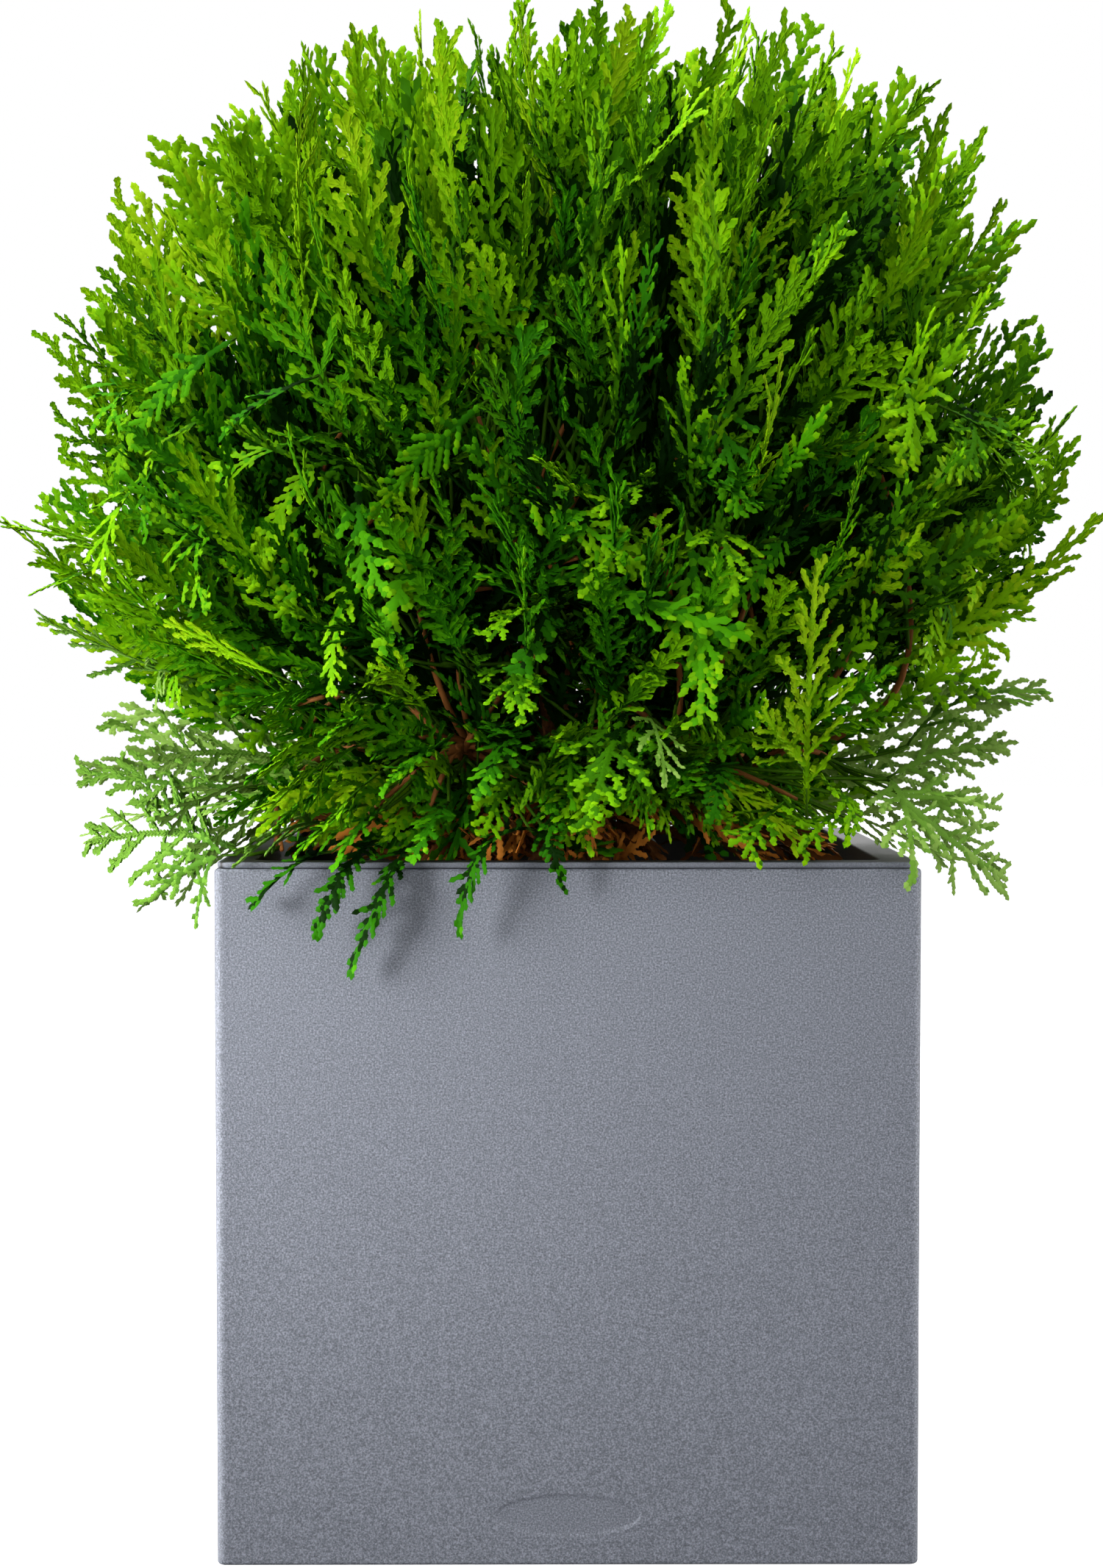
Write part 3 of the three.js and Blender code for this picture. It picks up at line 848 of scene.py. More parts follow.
    def soil_height(self, level: Array) -> Array:
        """Height of the potting mix's lumpy top above its mean: a sum of waves in turned directions.

        Args:
            level: Points seen from above, an array ending in 2.

        Returns:
            Heights above the mean.
        """
        lumps = np.zeros(level.shape[:-1])
        for number, length in enumerate((61.0, 37.0, 23.0, 14.0, 9.0)):
            angle = 2.4 * number + 0.4
            across = level[..., 0] * math.cos(angle) + level[..., 1] * math.sin(angle)
            along = level[..., 1] * math.cos(angle) - level[..., 0] * math.sin(angle)
            lumps += 0.4 / (1 + number) * np.sin(across / length * 6.28 + number) * np.cos(along / length * 5.1)
        return self.soil_relief * lumps - 0.5 * self.soil_relief

    def soil(self) -> Surface:
        """Builds the potting mix, a block with a lumpy top.

        Returns:
            The surface.
        """
        half = self.width / 2 - self.lip_width - self.liner_wall - 2 * self.gap
        base = self.liner_floor_z + self.liner_floor + self.gap
        shares = np.linspace(1.0, 0.02, 40)
        rows = [(4.0, 0.5, base), (half, self.liner_corner, base), (half, self.liner_corner, self.soil_top - 6)]
        rows += [(half * share, self.liner_corner * share, self.soil_top) for share in shares]
        middle = tuple(np.linspace(-0.95, 0.95, 30))
        points = SquareRing(middle=middle).rings(Profile.of(rows))
        top = points[3:]
        top[..., 2] += self.soil_height(top[..., :2])
        return swept(points[None])

    def chip_surface(self, random: np.random.Generator, count: int) -> Surface:
        """Flakes of bark on the potting mix: thin blocks with uneven corners, tipped a little.

        Args:
            random: Seeded source.
            count: Number of flakes.

        Returns:
            All flakes as one surface.
        """
        half = self.width / 2 - self.lip_width - self.liner_wall - 12
        size = np.stack([random.uniform(*limits, count) for limits in self.chip_sizes], axis=1)
        corners = np.array([[x, y, z] for z in (-1, 1) for x, y in ((-1, -1), (1, -1), (1, 1), (-1, 1))], float)
        shape = corners[None] * size[:, None] * random.uniform(0.6, 1.15, (count, 8, 1))
        spin, tip = random.uniform(0, 2 * math.pi, count), random.normal(0, 0.28, (count, 2))
        shape[..., 2] += shape[..., 0] * tip[:, :1] + shape[..., 1] * tip[:, 1:]
        cosine, sine = np.cos(spin)[:, None], np.sin(spin)[:, None]
        level = random.uniform(-half, half, (count, 2))
        x = shape[..., 0] * cosine - shape[..., 1] * sine + level[:, :1]
        y = shape[..., 0] * sine + shape[..., 1] * cosine + level[:, 1:]
        z = shape[..., 2] + (self.soil_top + self.soil_height(level) + random.uniform(0.5, 3.5, count))[:, None]
        return swept(np.stack([x, y, z], -1).reshape(count, 2, 4, 3))

    def build(self, maker: PieceMaker, random: np.random.Generator) -> None:
        """Makes the planter's pieces.

        Args:
            maker: Makes the objects.
            random: Seeded source.
        """
        maker.make("planter_shell_cast", self.shell(), self.plastic.build(), ["planter_shell"])
        maker.make("planter_liner_cast", self.liner(), self.liner_plastic.build(), ["planter_liner"])
        maker.make("potting_mix", self.soil(), PottingMix().build(), ["substrate"])
        for name, finish in CHIP_FINISHES.items():
            maker.make(name, self.chip_surface(random, self.chips // 2), finish.build(name))


# Plant's form, as the CAD source rules it


@dataclass(frozen=True)
class Spheroid:
    """Upright ellipsoid of revolution on the plant's axis."""

    centre_z: float
    radius: float
    half_height: float

    def distance(self, start_z: float, directions: Array) -> Array:
        """Distance from a point on the axis to the spheroid, the larger root of the quadratic along each ray.

        Args:
            start_z: Height of the point.
            directions: Unit vectors, an array ending in 3.

        Returns:
            Distances.
        """
        stretch = np.array([1 / self.radius, 1 / self.radius, 1 / self.half_height])
        way = directions * stretch
        start = np.array([0.0, 0.0, start_z - self.centre_z]) * stretch
        a = (way**2).sum(-1)
        b = (way * start).sum(-1)
        c = (start**2).sum() - 1.0
        return (-b + np.sqrt(b * b - a * c)) / a


@dataclass(frozen=True)
class Ring:
    """One ring of foliage masses, each carried by its own bough."""

    name: str
    count: int
    elevation: float
    turn: float
    limb_base: float
    limb_tip: float
    rise: float

    def labels(self) -> list[str]:
        """Returns the names' endings of the ring's masses and boughs."""
        return [self.name] if self.count == 1 else [f"{self.name}_{i + 1}" for i in range(self.count)]


@dataclass(frozen=True)
class CrownForm:
    """Reach of the crown, the spaces inside it, and the rings of masses."""

    centre_z: float = 465.0
    split_z: float = 318.0
    elevations: tuple[float, ...] = (-44, -32, -20, -9, 2, 20, 40, 60, 78, 90)
    left_reach: tuple[float, ...] = (256, 262, 222, 250, 238, 238, 250, 232, 214, 208)
    right_reach: tuple[float, ...] = (250, 238, 230, 232, 244, 238, 254, 243, 217, 208)
    lowest_spray: float = -41.0
    hollow: Spheroid = Spheroid(343.0, 96.0, 186.0)
    heart: Spheroid = Spheroid(436.0, 146.0, 152.0)
    rings: tuple[Ring, ...] = (
        Ring("top", 1, 90.0, 0.0, 6.4, 3.6, 1.0),
        Ring("upper", 5, 64.5, 18.0, 5.6, 3.2, 0.88),
        Ring("middle", 7, 41.5, 5.0, 5.2, 3.0, 0.62),
        Ring("lower", 8, 14.0, -22.5, 4.4, 2.6, 0.3),
    )

    @property
    def centre(self) -> Array:
        """Point from which the crown's reach is taken."""
        return np.array([0.0, 0.0, self.centre_z])

    @property
    def split(self) -> Array:
        """Point from which masses and sprays fan out."""
        return np.array([0.0, 0.0, self.split_z])

    def reach(self, directions: Array) -> Array:
        """How far the crown reaches from its centre.

        The reach on the left and on the right is read from its row by elevation, and the two are mixed by how far
        the direction points to the right.

        Args:
            directions: Unit vectors, an array (directions, 3).

        Returns:
            Reaches.
        """
        elevation = np.degrees(np.arcsin(np.clip(directions[:, 2], -1, 1)))
        left = np.interp(elevation, self.elevations, self.left_reach)
        right = np.interp(elevation, self.elevations, self.right_reach)
        side = (1 + directions[:, 0] / np.maximum(np.hypot(directions[:, 0], directions[:, 1]), 0.01)) / 2
        return mixed(left, right, side)

    def sites(self) -> tuple[list[str], Array, Array, list[Ring]]:
        """All masses: labels, azimuths, directions from the split, and rings.

        Returns:
            The four, in the same order.
        """
        labels, azimuths, elevations, rings = [], [], [], []
        for ring in self.rings:
            labels += ring.labels()
            azimuths += [math.radians(ring.turn + 360 * i / ring.count) for i in range(ring.count)]
            elevations += [math.radians(ring.elevation)] * ring.count
            rings += [ring] * ring.count
        return labels, np.array(azimuths), towards(np.array(azimuths), np.array(elevations)), rings

    def nearest(self, points: Array) -> Array:
        """Returns the number of the mass whose direction from the split is nearest to each point's."""
        return (unit(points - self.split) @ self.sites()[2].T).argmax(axis=1)


@dataclass
class Trunk:
    """Short trunk with buttresses at its flat foot, and one limb to each mass."""

    form: CrownForm
    foot_z: float
    foot_radius: float = 30.0
    radius: float = 19.0
    top_radius: float = 16.5
    height: float = 66.0
    flare_height: float = 20.0
    buttresses: int = 5
    buttress_share: float = 0.12
    lean: float = 3.0
    sway: float = 2.2
    relief: float = 0.9
    sides: int = 72
    steps: int = 44
    limb_sway: float = 5.0
    limb_sink: float = 4.0
    limb_bow: float = 0.36
    limb_sides: int = 16
    limb_steps: int = 34
    stem_outside: float = 9.0
    limbs: list[Array] = field(default_factory=list)

    def axis(self, rise: Array) -> Array:
        """The trunk's middle: it sways aside as a sine and leans forward evenly.

        Args:
            rise: Shares of the trunk's height.

        Returns:
            Points, an array ending in 3.
        """
        rise = np.asarray(rise, float)
        parts = [np.sin(rise * self.sway) * self.lean, -rise * self.lean, self.foot_z + rise * self.height]
        return np.stack(parts, axis=-1)

    def radius_at(self, rise: Array) -> Array:
        """Returns the radius at shares of the height: an even taper plus a flare that fades with the square."""
        flare = np.maximum(0.0, 1 - rise * self.height / self.flare_height) ** 2
        return mixed(self.radius, self.top_radius, rise) + (self.foot_radius - self.radius) * flare

    def strips(self, angle: Array, along: Array, count: int) -> Array:
        """Relief of bark in strips: ridges round the stem whose edges wander as they climb.

        Args:
            angle: Angle round the stem.
            along: Place along the stem, in strips' lengths.
            count: Strips round the stem.

        Returns:
            Heights from -1 to 1.
        """
        wander = 0.8 * np.sin(along * 2.3) + 0.5 * np.sin(along * 5.7 + angle)
        ridge = np.abs(np.sin(0.5 * count * angle + wander))
        return 1.6 * np.sqrt(ridge) - 1.0 + 0.25 * np.sin(3 * angle + along * 9.1)

    def trunk_surface(self) -> Surface:
        """Builds the trunk: rings round its axis, swollen by buttresses near the foot and by strips of bark.

        Returns:
            The surface.
        """
        rise = np.linspace(0.0, 1.0, self.steps)[:, None]
        angle = (np.arange(self.sides) * (2 * math.pi / self.sides))[None]
        fade = np.maximum(0.0, 1 - rise * 1.6)
        swell = 1 + self.buttress_share * fade * np.cos(angle * self.buttresses)
        size = self.radius_at(rise) * swell + self.relief * (self.strips(angle, rise * 4, 18) - 1.0)
        centre = self.axis(rise[:, 0])[:, None]
        across = np.stack([np.cos(angle), np.sin(angle), 0 * angle], axis=-1)
        return swept((centre + size[..., None] * across)[None])

    def limb_controls(self, numbers: SourceNumbers) -> list[Array]:
        """Control points of every limb: out of the trunk, then in line with its mass's direction.

        Args:
            numbers: The CAD source's random numbers, drawn once for each limb.

        Returns:
            Four arrays (limbs, 3).
        """
        labels, azimuths, directions, rings = self.form.sites()
        outward = towards(azimuths, np.zeros_like(azimuths))
        rise = np.array([ring.rise for ring in rings])
        away = self.radius_at(rise) - self.limb_sink
        away[[ring.count == 1 for ring in rings]] = 0.0
        start = self.axis(rise) + outward * away[:, None]
        hollow = self.form.hollow.distance(self.form.split_z, directions)
        end = self.form.split + directions * (hollow - self.stem_outside)[:, None]
        reach = np.linalg.norm(end - start, axis=1, keepdims=True) * self.limb_bow
        draws = np.array([numbers.draw() * 2 - 1 for _ in labels])
        aside = np.stack([-outward[:, 1], outward[:, 0], 0 * draws], axis=1) * (draws * self.limb_sway)[:, None]
        leave = unit(mixed(outward, directions, 0.35))
        return [start, start + leave * reach + aside, end - directions * reach, end]

    def limb_surface(self, controls: list[Array], rings: list[Ring], chosen: Array) -> Surface:
        """Builds the chosen limbs as tapering tubes with strips of bark.

        Args:
            controls: Control points of all limbs.
            rings: Ring of each limb.
            chosen: Numbers of the limbs to build.

        Returns:
            The limbs as one surface.
        """
        along = np.linspace(0.0, 1.0, self.limb_steps)
        centres = bezier([control[chosen] for control in controls], along)
        base = np.array([rings[i].limb_base for i in chosen])[:, None]
        tip = np.array([rings[i].limb_tip for i in chosen])[:, None]
        angle = np.arange(self.limb_sides) * (2 * math.pi / self.limb_sides)
        strips = self.strips(angle[None, None], along[None, :, None] * 9 + chosen[:, None, None], 7)
        radii = mixed(base, tip, along[None])[..., None] * (1 + 0.07 * (strips - 1.0))
        return tubes(centres, radii, self.limb_sides)

    def build(self, maker: PieceMaker, bark: bpy.types.Material) -> None:
        """Makes the trunk and the boughs, ring by ring.

        Args:
            maker: Makes the objects.
            bark: Their material.
        """
        maker.make("trunk_bark", self.trunk_surface(), bark, ["trunk"])
        labels, _, _, rings = self.form.sites()
        self.limbs = self.limb_controls(SourceNumbers(SEED))
        for ring in self.form.rings:
            chosen = np.array([i for i, own in enumerate(rings) if own is ring])
            surface = self.limb_surface(self.limbs, rings, chosen)
            maker.make(f"boughs_{ring.name}", surface, bark, [f"bough_{labels[i]}" for i in chosen])


# Sprays


@dataclass
class SprayPattern:
    """One flat spray in its own plane: scale leaves in chains along a lead, its side shoots and their lobes.

    A leaf has five points: foot, left, right, tip and a raised middle. Coordinates are along the lead, across it and
    out of the plane, with the lead's length as given.
    """

    length: float
    random: np.random.Generator
    pitch: float = 3.1
    leaf_width: float = 3.4
    ridge: float = 1.1
    tip_lift: float = 0.3
    behind: float = 1.35
    before: float = 1.2
    blunt: float = 0.62
    widest: float = 0.18
    shoot_pitch: tuple[float, ...] = (5.8, 3.1)
    shoot_share: tuple[float, ...] = (0.36, 0.12)
    shoot_least: tuple[float, ...] = (7.4, 3.3)
    shoot_most: tuple[float, ...] = (22.0, 5.6)
    shortest: float = 2.4
    shoot_first: tuple[float, ...] = (0.18, 0.22)
    shoot_angle: tuple[float, ...] = (42.0, 42.0)
    bare: float = 0.1
    rows: list[Array] = field(default_factory=list)

    def chain(self, start: Array, heading: float, curl: float, length: float, order: int, lift: float) -> Array:
        """Adds leaves one after another along an arc that turns evenly; the last one is blunt.

        Args:
            start: Where the shoot leaves its parent: along, across, out of plane.
            heading: Its first direction from the lead, in radians.
            curl: How far its direction turns over its length.
            length: Its length.
            order: 0 for the lead, 1 for side shoots, 2 for lobes.
            lift: How fast it leaves the plane.

        Returns:
            Points at each leaf and their headings, an array (leaves, 4).
        """
        count = max(1, int(round(length / self.pitch)))
        share = (np.arange(count) + 0.5) / count
        headings = heading + curl * share
        step = length / count
        along = start[0] + (np.cumsum(np.cos(headings)) - 0.5 * np.cos(headings)) * step
        across = start[1] + (np.cumsum(np.sin(headings)) - 0.5 * np.sin(headings)) * step
        out = start[2] + lift * share * length
        width = self.leaf_width * (1.0 - 0.05 * order) * (1.0 - 0.1 * share**4)
        # Youth: lighter towards each shoot's young end and towards the spray's tip; the darkening towards the root is
        # painted shade.
        youth_and_painted_shade = share * (0.2 if order == 0 else 0.5) + 0.5 * (along / self.length)
        behind = np.full(count, self.behind * step)
        before = np.full(count, self.before * step)
        behind[0] = 0.7 * step
        before[-1] = self.blunt * step
        leaves = np.stack([along, across, out, headings, width, youth_and_painted_shade, np.full(count, lift), behind, before], axis=1)
        self.rows.append(leaves[int(count * self.bare) if order == 0 else 0 :])
        return np.stack([along, across, out, headings], axis=1)

    def shoot(self, start: Array, heading: float, length: float, order: int, lift: float) -> None:
        """Grows a shoot and, by the same rule, those that leave it on alternate sides.

        A side shoot's length is the least one plus a share of what is left of its parent, up to the most.

        Args:
            start: Where it leaves its parent.
            heading: Its first direction.
            length: Its length.
            order: 0 for the lead, 1 for side shoots, 2 for lobes.
            lift: How fast it leaves the plane.
        """
        inward = -math.copysign(math.radians(12 * order), heading) if order else 0.0
        spine = self.chain(start, heading, inward * self.random.uniform(0.4, 1.6), length, order, lift)
        if order >= len(self.shoot_pitch):
            return
        side = self.random.choice([-1, 1])
        place = length * self.shoot_first[order] * self.random.uniform(0.8, 1.2)
        least = self.shoot_least[order]
        while place < length - self.shortest:
            envelope = min(1.0, 0.5 + place / (0.28 * length)) if order == 0 else 1.0
            reach = min(self.shoot_most[order], least + (length - place) * self.shoot_share[order]) * envelope
            reach *= self.random.uniform(0.72, 1.12)
            knot = spine[min(len(spine) - 1, int(place / length * len(spine)))]
            angle = math.radians(self.shoot_angle[order] - 10 * place / length + self.random.normal(0, 6))
            tilt = lift + self.random.normal(0, 0.2)
            if reach >= self.shortest:
                self.shoot(knot[:3], knot[3] + side * angle, reach, order + 1, tilt)
            side = -side
            place += self.shoot_pitch[order] * self.random.uniform(0.8, 1.2)

    def grown(self) -> SprayPattern:
        """Grows the whole spray and returns it."""
        self.shoot(np.zeros(3), 0.0, self.length, 0, 0.0)
        return self

    def leaves(self) -> tuple[Array, Array]:
        """Five points of each leaf, and how young it is.

        The foot lies behind the leaf's place and the tip before it; left and right are half a width to the sides and
        a little forward, where the raised middle is too, and the tip lies a little over the next leaf's foot.

        Returns:
            Points (leaves, 5, 3) and youth with its painted shade (leaves,).
        """
        rows = np.concatenate(self.rows)
        place, heading, width, youth_and_painted_shade, lift = rows[:, :3], rows[:, 3], rows[:, 4], rows[:, 5], rows[:, 6]
        behind, before = rows[:, 7:8], rows[:, 8:9]
        ahead = np.stack([np.cos(heading), np.sin(heading), lift], axis=1)
        aside = np.stack([-np.sin(heading), np.cos(heading), 0 * heading], axis=1)
        foot = place - ahead * behind
        tip = place + ahead * before + UP * self.tip_lift
        broad = place + ahead * before * self.widest
        left = broad + aside * (width / 2)[:, None]
        right = broad - aside * (width / 2)[:, None]
        middle = broad + UP * self.ridge
        return np.stack([foot, left, right, tip, middle], axis=1), youth_and_painted_shade


LEAF_TRIANGLES = np.array([[0, 4, 1], [0, 2, 4], [3, 1, 4], [3, 4, 2]])


@dataclass
class Sprays:
    """Many sprays: the curve, turn, width, colour tone and mass of each, as arrays over the sprays."""

    root: Array
    bend: Array
    tip: Array
    roll: Array
    twist: Array
    breadth: Array
    tone: Array
    family: Array

    @staticmethod
    def joined(parts: Sequence[Sprays]) -> Sprays:
        """Returns several sets of sprays as one."""
        return Sprays(*[np.concatenate([getattr(part, row.name) for part in parts]) for row in fields(Sprays)])

    def chosen(self, mask: Array) -> Sprays:
        """Returns only the sprays that a mask or a row of numbers picks."""
        return Sprays(*[getattr(self, row.name)[mask] for row in fields(Sprays)])

    def length(self) -> Array:
        """Returns the curves' lengths, as sums over short chords."""
        points = bezier([self.root, self.bend, self.tip], np.linspace(0, 1, 9))
        return np.linalg.norm(np.diff(points, axis=1), axis=2).sum(axis=1)

    def place(self, flat: Array, length: float) -> Array:
        """Lays a flat pattern along each spray's curve.

        A point lies at the curve's point for its share along, plus its width times the across vector, plus its
        height times the vector square to both. The across vector is the level tangent turned about the curve by the
        spray's roll, and by its twist along the way.

        Args:
            flat: Pattern points (points, 3): along, across, out of plane.
            length: The pattern's own length.

        Returns:
            Points (sprays, points, 3).
        """
        share = np.clip(flat[:, 0] / length, 0.0, 1.08)
        controls = [self.root, self.bend, self.tip]
        centre = bezier(controls, share)
        slopes = [2 * (self.bend - self.root), 2 * (self.tip - self.bend)]
        way = unit(bezier(slopes, share))
        azimuth = np.arctan2(self.tip[:, 1], self.tip[:, 0])
        tangent = np.stack([-np.sin(azimuth), np.cos(azimuth), 0 * azimuth], axis=1)[:, None]
        level = unit(tangent - way * (tangent * way).sum(-1, keepdims=True))
        upright = np.cross(way, level)
        turn = (self.roll[:, None] + self.twist[:, None] * (share[None] - 0.5))[..., None]
        across = level * np.cos(turn) + upright * np.sin(turn)
        out = np.cross(way, across)
        scale = (self.length() / length * self.breadth)[:, None, None]
        return centre + scale * (across * flat[None, :, 1:2] + out * flat[None, :, 2:3])


@dataclass(frozen=True)
class ShownSpray:
    """A spray that the photograph shows clearly: its root, bend and tip, its roll in degrees, breadth and tone."""

    root: tuple[float, float, float]
    bend: tuple[float, float, float]
    tip: tuple[float, float, float]
    roll: float
    breadth: float
    tone: float
    family: Family = Family.WARM


MARKED_TIPS = (
    (49, -10, 691, 0.8),
    (-259, -24, 450, 0.75),
    (-240, -30, 405, 0.75),
    (-223, -42, 334, 0.95),
    (-229, 14, 299, 0.9),
    (-190, -60, 277, 0.85),
    (-224, 62, 356, 0.95),
    (252, 0, 455, 0.75),
    (202, -34, 345, 0.95),
    (212, 26, 284, 0.85),
    (233, 30, 371, 0.85),
    (171, -100, 297, 0.75),
)

# Root, bend, tip, roll, breadth and tone of each shown spray, and its family unless it is warm
# Tones are partly the sprays' own colour and partly painted light and shade, low for sprays that hang in the crown's
# shade.
SHOWN_ROWS = (
    ((-139, -60, 329), (-178, -60, 329), (-224, -42, 336), 78, 0.95, 0.5, Family.BLUISH),
    ((-158, 30, 321), (-178, 50, 347), (-226, 62, 356), 70, 0.9, 0.5, Family.BLUISH),
    ((-138, -124, 302), (-171, -70, 316), (-228, 14, 299), 84, 1.0, 0.6, Family.BLUISH),
    ((-141, -110, 302), (-178, -60, 313), (-208, -20, 340), 70, 0.9, 0.45, Family.BLUISH),
    ((-143, -124, 302), (-163, -110, 302), (-190, -60, 276), -70, 0.9, 0.45, Family.BLUISH),
    ((-100, -150, 305), (-113, -182, 305), (-133, -170, 282), 30, 1.0, 0.12, Family.GREEN),
    ((-66, -120, 306), (-68, -190, 314), (-92, -172, 254), 12, 0.95, 0.1, Family.GREEN),
    ((-80, -120, 308), (-88, -200, 314), (-106, -176, 270), -14, 0.9, 0.08, Family.GREEN),
    ((-9, -130, 312), (-40, -204, 326), (-46, -176, 271), 30, 0.9, 0.15, Family.GREEN),
    ((-16, -150, 314), (-6, -190, 316), (-3, -172, 291), 10, 0.8, 0.1, Family.GREEN),
    ((24, -150, 365), (18, -205, 355), (7, -212, 318), 8, 1.35, 0.36),
    ((33, -170, 362), (36, -205, 360), (39, -209, 336), -20, 0.9, 0.9, Family.BLUISH),
    ((158, -30, 347), (175, -30, 377), (229, 0, 371), 30, 0.9, 0.5, Family.BLUISH),
    ((148, -34, 332), (176, -34, 350), (203, -34, 346), 84, 1.15, 1.0, Family.BLUISH),
    ((140, -60, 326), (177, -50, 324), (201, -34, 318), 84, 1.2, 1.05, Family.BLUISH),
    ((146, -80, 328), (172, -40, 306), (213, 26, 281), 80, 1.2, 1.05, Family.BLUISH),
    ((140, -110, 334), (143, -170, 330), (143, -176, 293), 6, 1.1, 1.0, Family.BLUISH),
    ((135, 30, 322), (149, 60, 336), (162, 60, 356), 70, 1.0, 0.3, Family.BLUISH),
    ((101, -150, 317), (95, -206, 367), (101, -196, 427), 4, 1.05, 1.05),
    ((99, -160, 339), (85, -200, 352), (78, -204, 367), 10, 0.9, 0.9),
    ((-156, -60, 422), (-210, -30, 442), (-261, -24, 448), 6, 0.9, 0.62),
    ((-195, -40, 431), (-216, -60, 429), (-242, -62, 415), 4, 0.75, 0.45),
    ((-156, -60, 374), (-194, -50, 384), (-243, -30, 406), 30, 0.75, 0.5, Family.BLUISH),
    ((-155, -70, 386), (-191, -70, 404), (-221, -60, 417), 30, 0.8, 0.55),
    ((-116, -150, 376), (-147, -150, 392), (-172, -140, 403), 20, 0.75, 0.95),
    ((-194, -20, 427), (-223, -10, 448), (-249, 0, 459), 60, 0.8, 0.7),
    ((71, -150, 441), (81, -196, 463), (86, -196, 508), 40, 0.9, 0.95),
    ((58, -150, 443), (64, -206, 440), (67, -212, 411), 10, 1.05, 0.5),
    ((40, -150, 460), (26, -200, 458), (9, -205, 445), 10, 0.9, 0.55),
    ((34, -140, 437), (23, -200, 445), (9, -210, 412), 4, 1.0, 0.5),
    ((-23, -130, 426), (7, -214, 418), (73, -206, 394), 20, 0.85, 0.5, Family.GREEN),
    ((-1, -130, 401), (-16, -205, 415), (-33, -212, 393), 10, 1.0, 0.42),
    ((-26, -140, 420), (-28, -196, 448), (-32, -200, 472), 50, 0.9, 0.6),
    ((-54, -140, 385), (-61, -196, 427), (-65, -200, 463), 60, 0.9, 0.7),
    ((33, -150, 404), (37, -205, 427), (36, -208, 444), 4, 0.95, 0.55),
    ((60, -120, 522), (54, -165, 545), (49, -172, 587), -4, 1.0, 0.9),
    ((76, -120, 532), (73, -160, 552), (93, -160, 579), 10, 1.0, 0.95),
    ((21, -130, 512), (19, -175, 531), (29, -175, 559), 12, 0.95, 0.8),
    ((-23, -140, 504), (-25, -180, 531), (-41, -176, 559), 8, 0.95, 0.8),
    ((-93, -120, 538), (-94, -150, 562), (-103, -150, 587), 8, 0.95, 0.85),
    ((-57, -140, 359), (-64, -205, 379), (-82, -200, 384), 10, 0.95, 0.7),
    ((-78, -150, 357), (-104, -190, 358), (-129, -176, 336), 60, 1.05, 0.5),
    ((-85, -150, 351), (-107, -190, 343), (-126, -176, 321), 60, 1.0, 0.5),
    ((-78, -150, 339), (-91, -190, 331), (-105, -176, 309), 50, 1.0, 0.45),
    ((-23, -150, 385), (-25, -205, 385), (-18, -212, 360), 8, 0.9, 0.4),
    ((119, -130, 319), (107, -190, 325), (95, -182, 306), 12, 0.95, 0.5),
    ((91, -130, 322), (80, -190, 325), (72, -182, 304), 12, 0.95, 0.45),
    ((113, -130, 329), (113, -192, 334), (120, -180, 315), -12, 0.95, 0.55),
    ((-86, -130, 324), (-96, -185, 325), (-114, -178, 304), 40, 1.0, 0.5, Family.GREEN),
    ((-78, -130, 322), (-86, -184, 322), (-98, -180, 298), 25, 0.95, 0.45, Family.GREEN),
    ((-92, -130, 335), (-106, -180, 334), (-123, -172, 313), 50, 1.05, 0.5, Family.GREEN),
    ((-103, -112, 315), (-119, -150, 320), (-139, -158, 300), 40, 1.0, 0.5, Family.BLUISH),
    ((-51, -130, 325), (-55, -190, 323), (-65, -184, 302), 15, 0.95, 0.4, Family.GREEN),
    ((-92, -110, 350), (-112, -176, 356), (-134, -176, 334), 50, 1.1, 0.4, Family.GREEN),
    ((-62, -110, 366), (-80, -188, 372), (-103, -184, 350), 30, 1.15, 0.45, Family.GREEN),
    ((-48, -110, 350), (-60, -188, 352), (-78, -184, 330), 25, 1.1, 0.4, Family.GREEN),
    ((-84, -100, 372), (-110, -172, 380), (-140, -164, 362), 40, 1.1, 0.5, Family.GREEN),
    ((-100, -96, 330), (-124, -160, 338), (-148, -164, 316), 50, 1.1, 0.45, Family.GREEN),
    ((-20, -120, 356), (-26, -190, 356), (-38, -190, 328), 12, 1.05, 0.3, Family.GREEN),
    ((60, -120, 340), (66, -186, 346), (58, -186, 318), -8, 1.0, 0.2, Family.GREEN),
    ((100, -60, 372), (150, -44, 384), (196, -30, 376), 80, 1.15, 0.45),
    ((-176, -16, 480), (-216, -24, 502), (-240, -28, 537), 80, 1.0, 0.6),
    ((-170, -20, 494), (-206, -26, 512), (-230, -30, 545), 40, 0.8, 0.3),
    ((-160, -20, 548), (-188, -28, 566), (-206, -30, 601), 78, 1.0, 0.8),
    ((-160, -20, 524), (-186, -28, 542), (-204, -30, 580), 70, 0.95, 0.8),
    ((-158, -20, 508), (-190, -28, 526), (-211, -30, 547), 75, 1.0, 0.7),
    ((-170, -20, 474), (-204, -28, 486), (-225, -30, 517), 75, 1.0, 0.6),
    ((-172, -20, 462), (-210, -28, 476), (-234, -30, 500), 60, 0.95, 0.35),
    ((-174, -20, 452), (-210, -28, 462), (-233, -30, 484), 84, 1.0, 0.6),
    ((-140, -20, 572), (-166, -28, 592), (-183, -30, 624), 78, 0.95, 0.85),
)
SHOWN_SPRAYS = tuple(ShownSpray(*row) for row in SHOWN_ROWS)


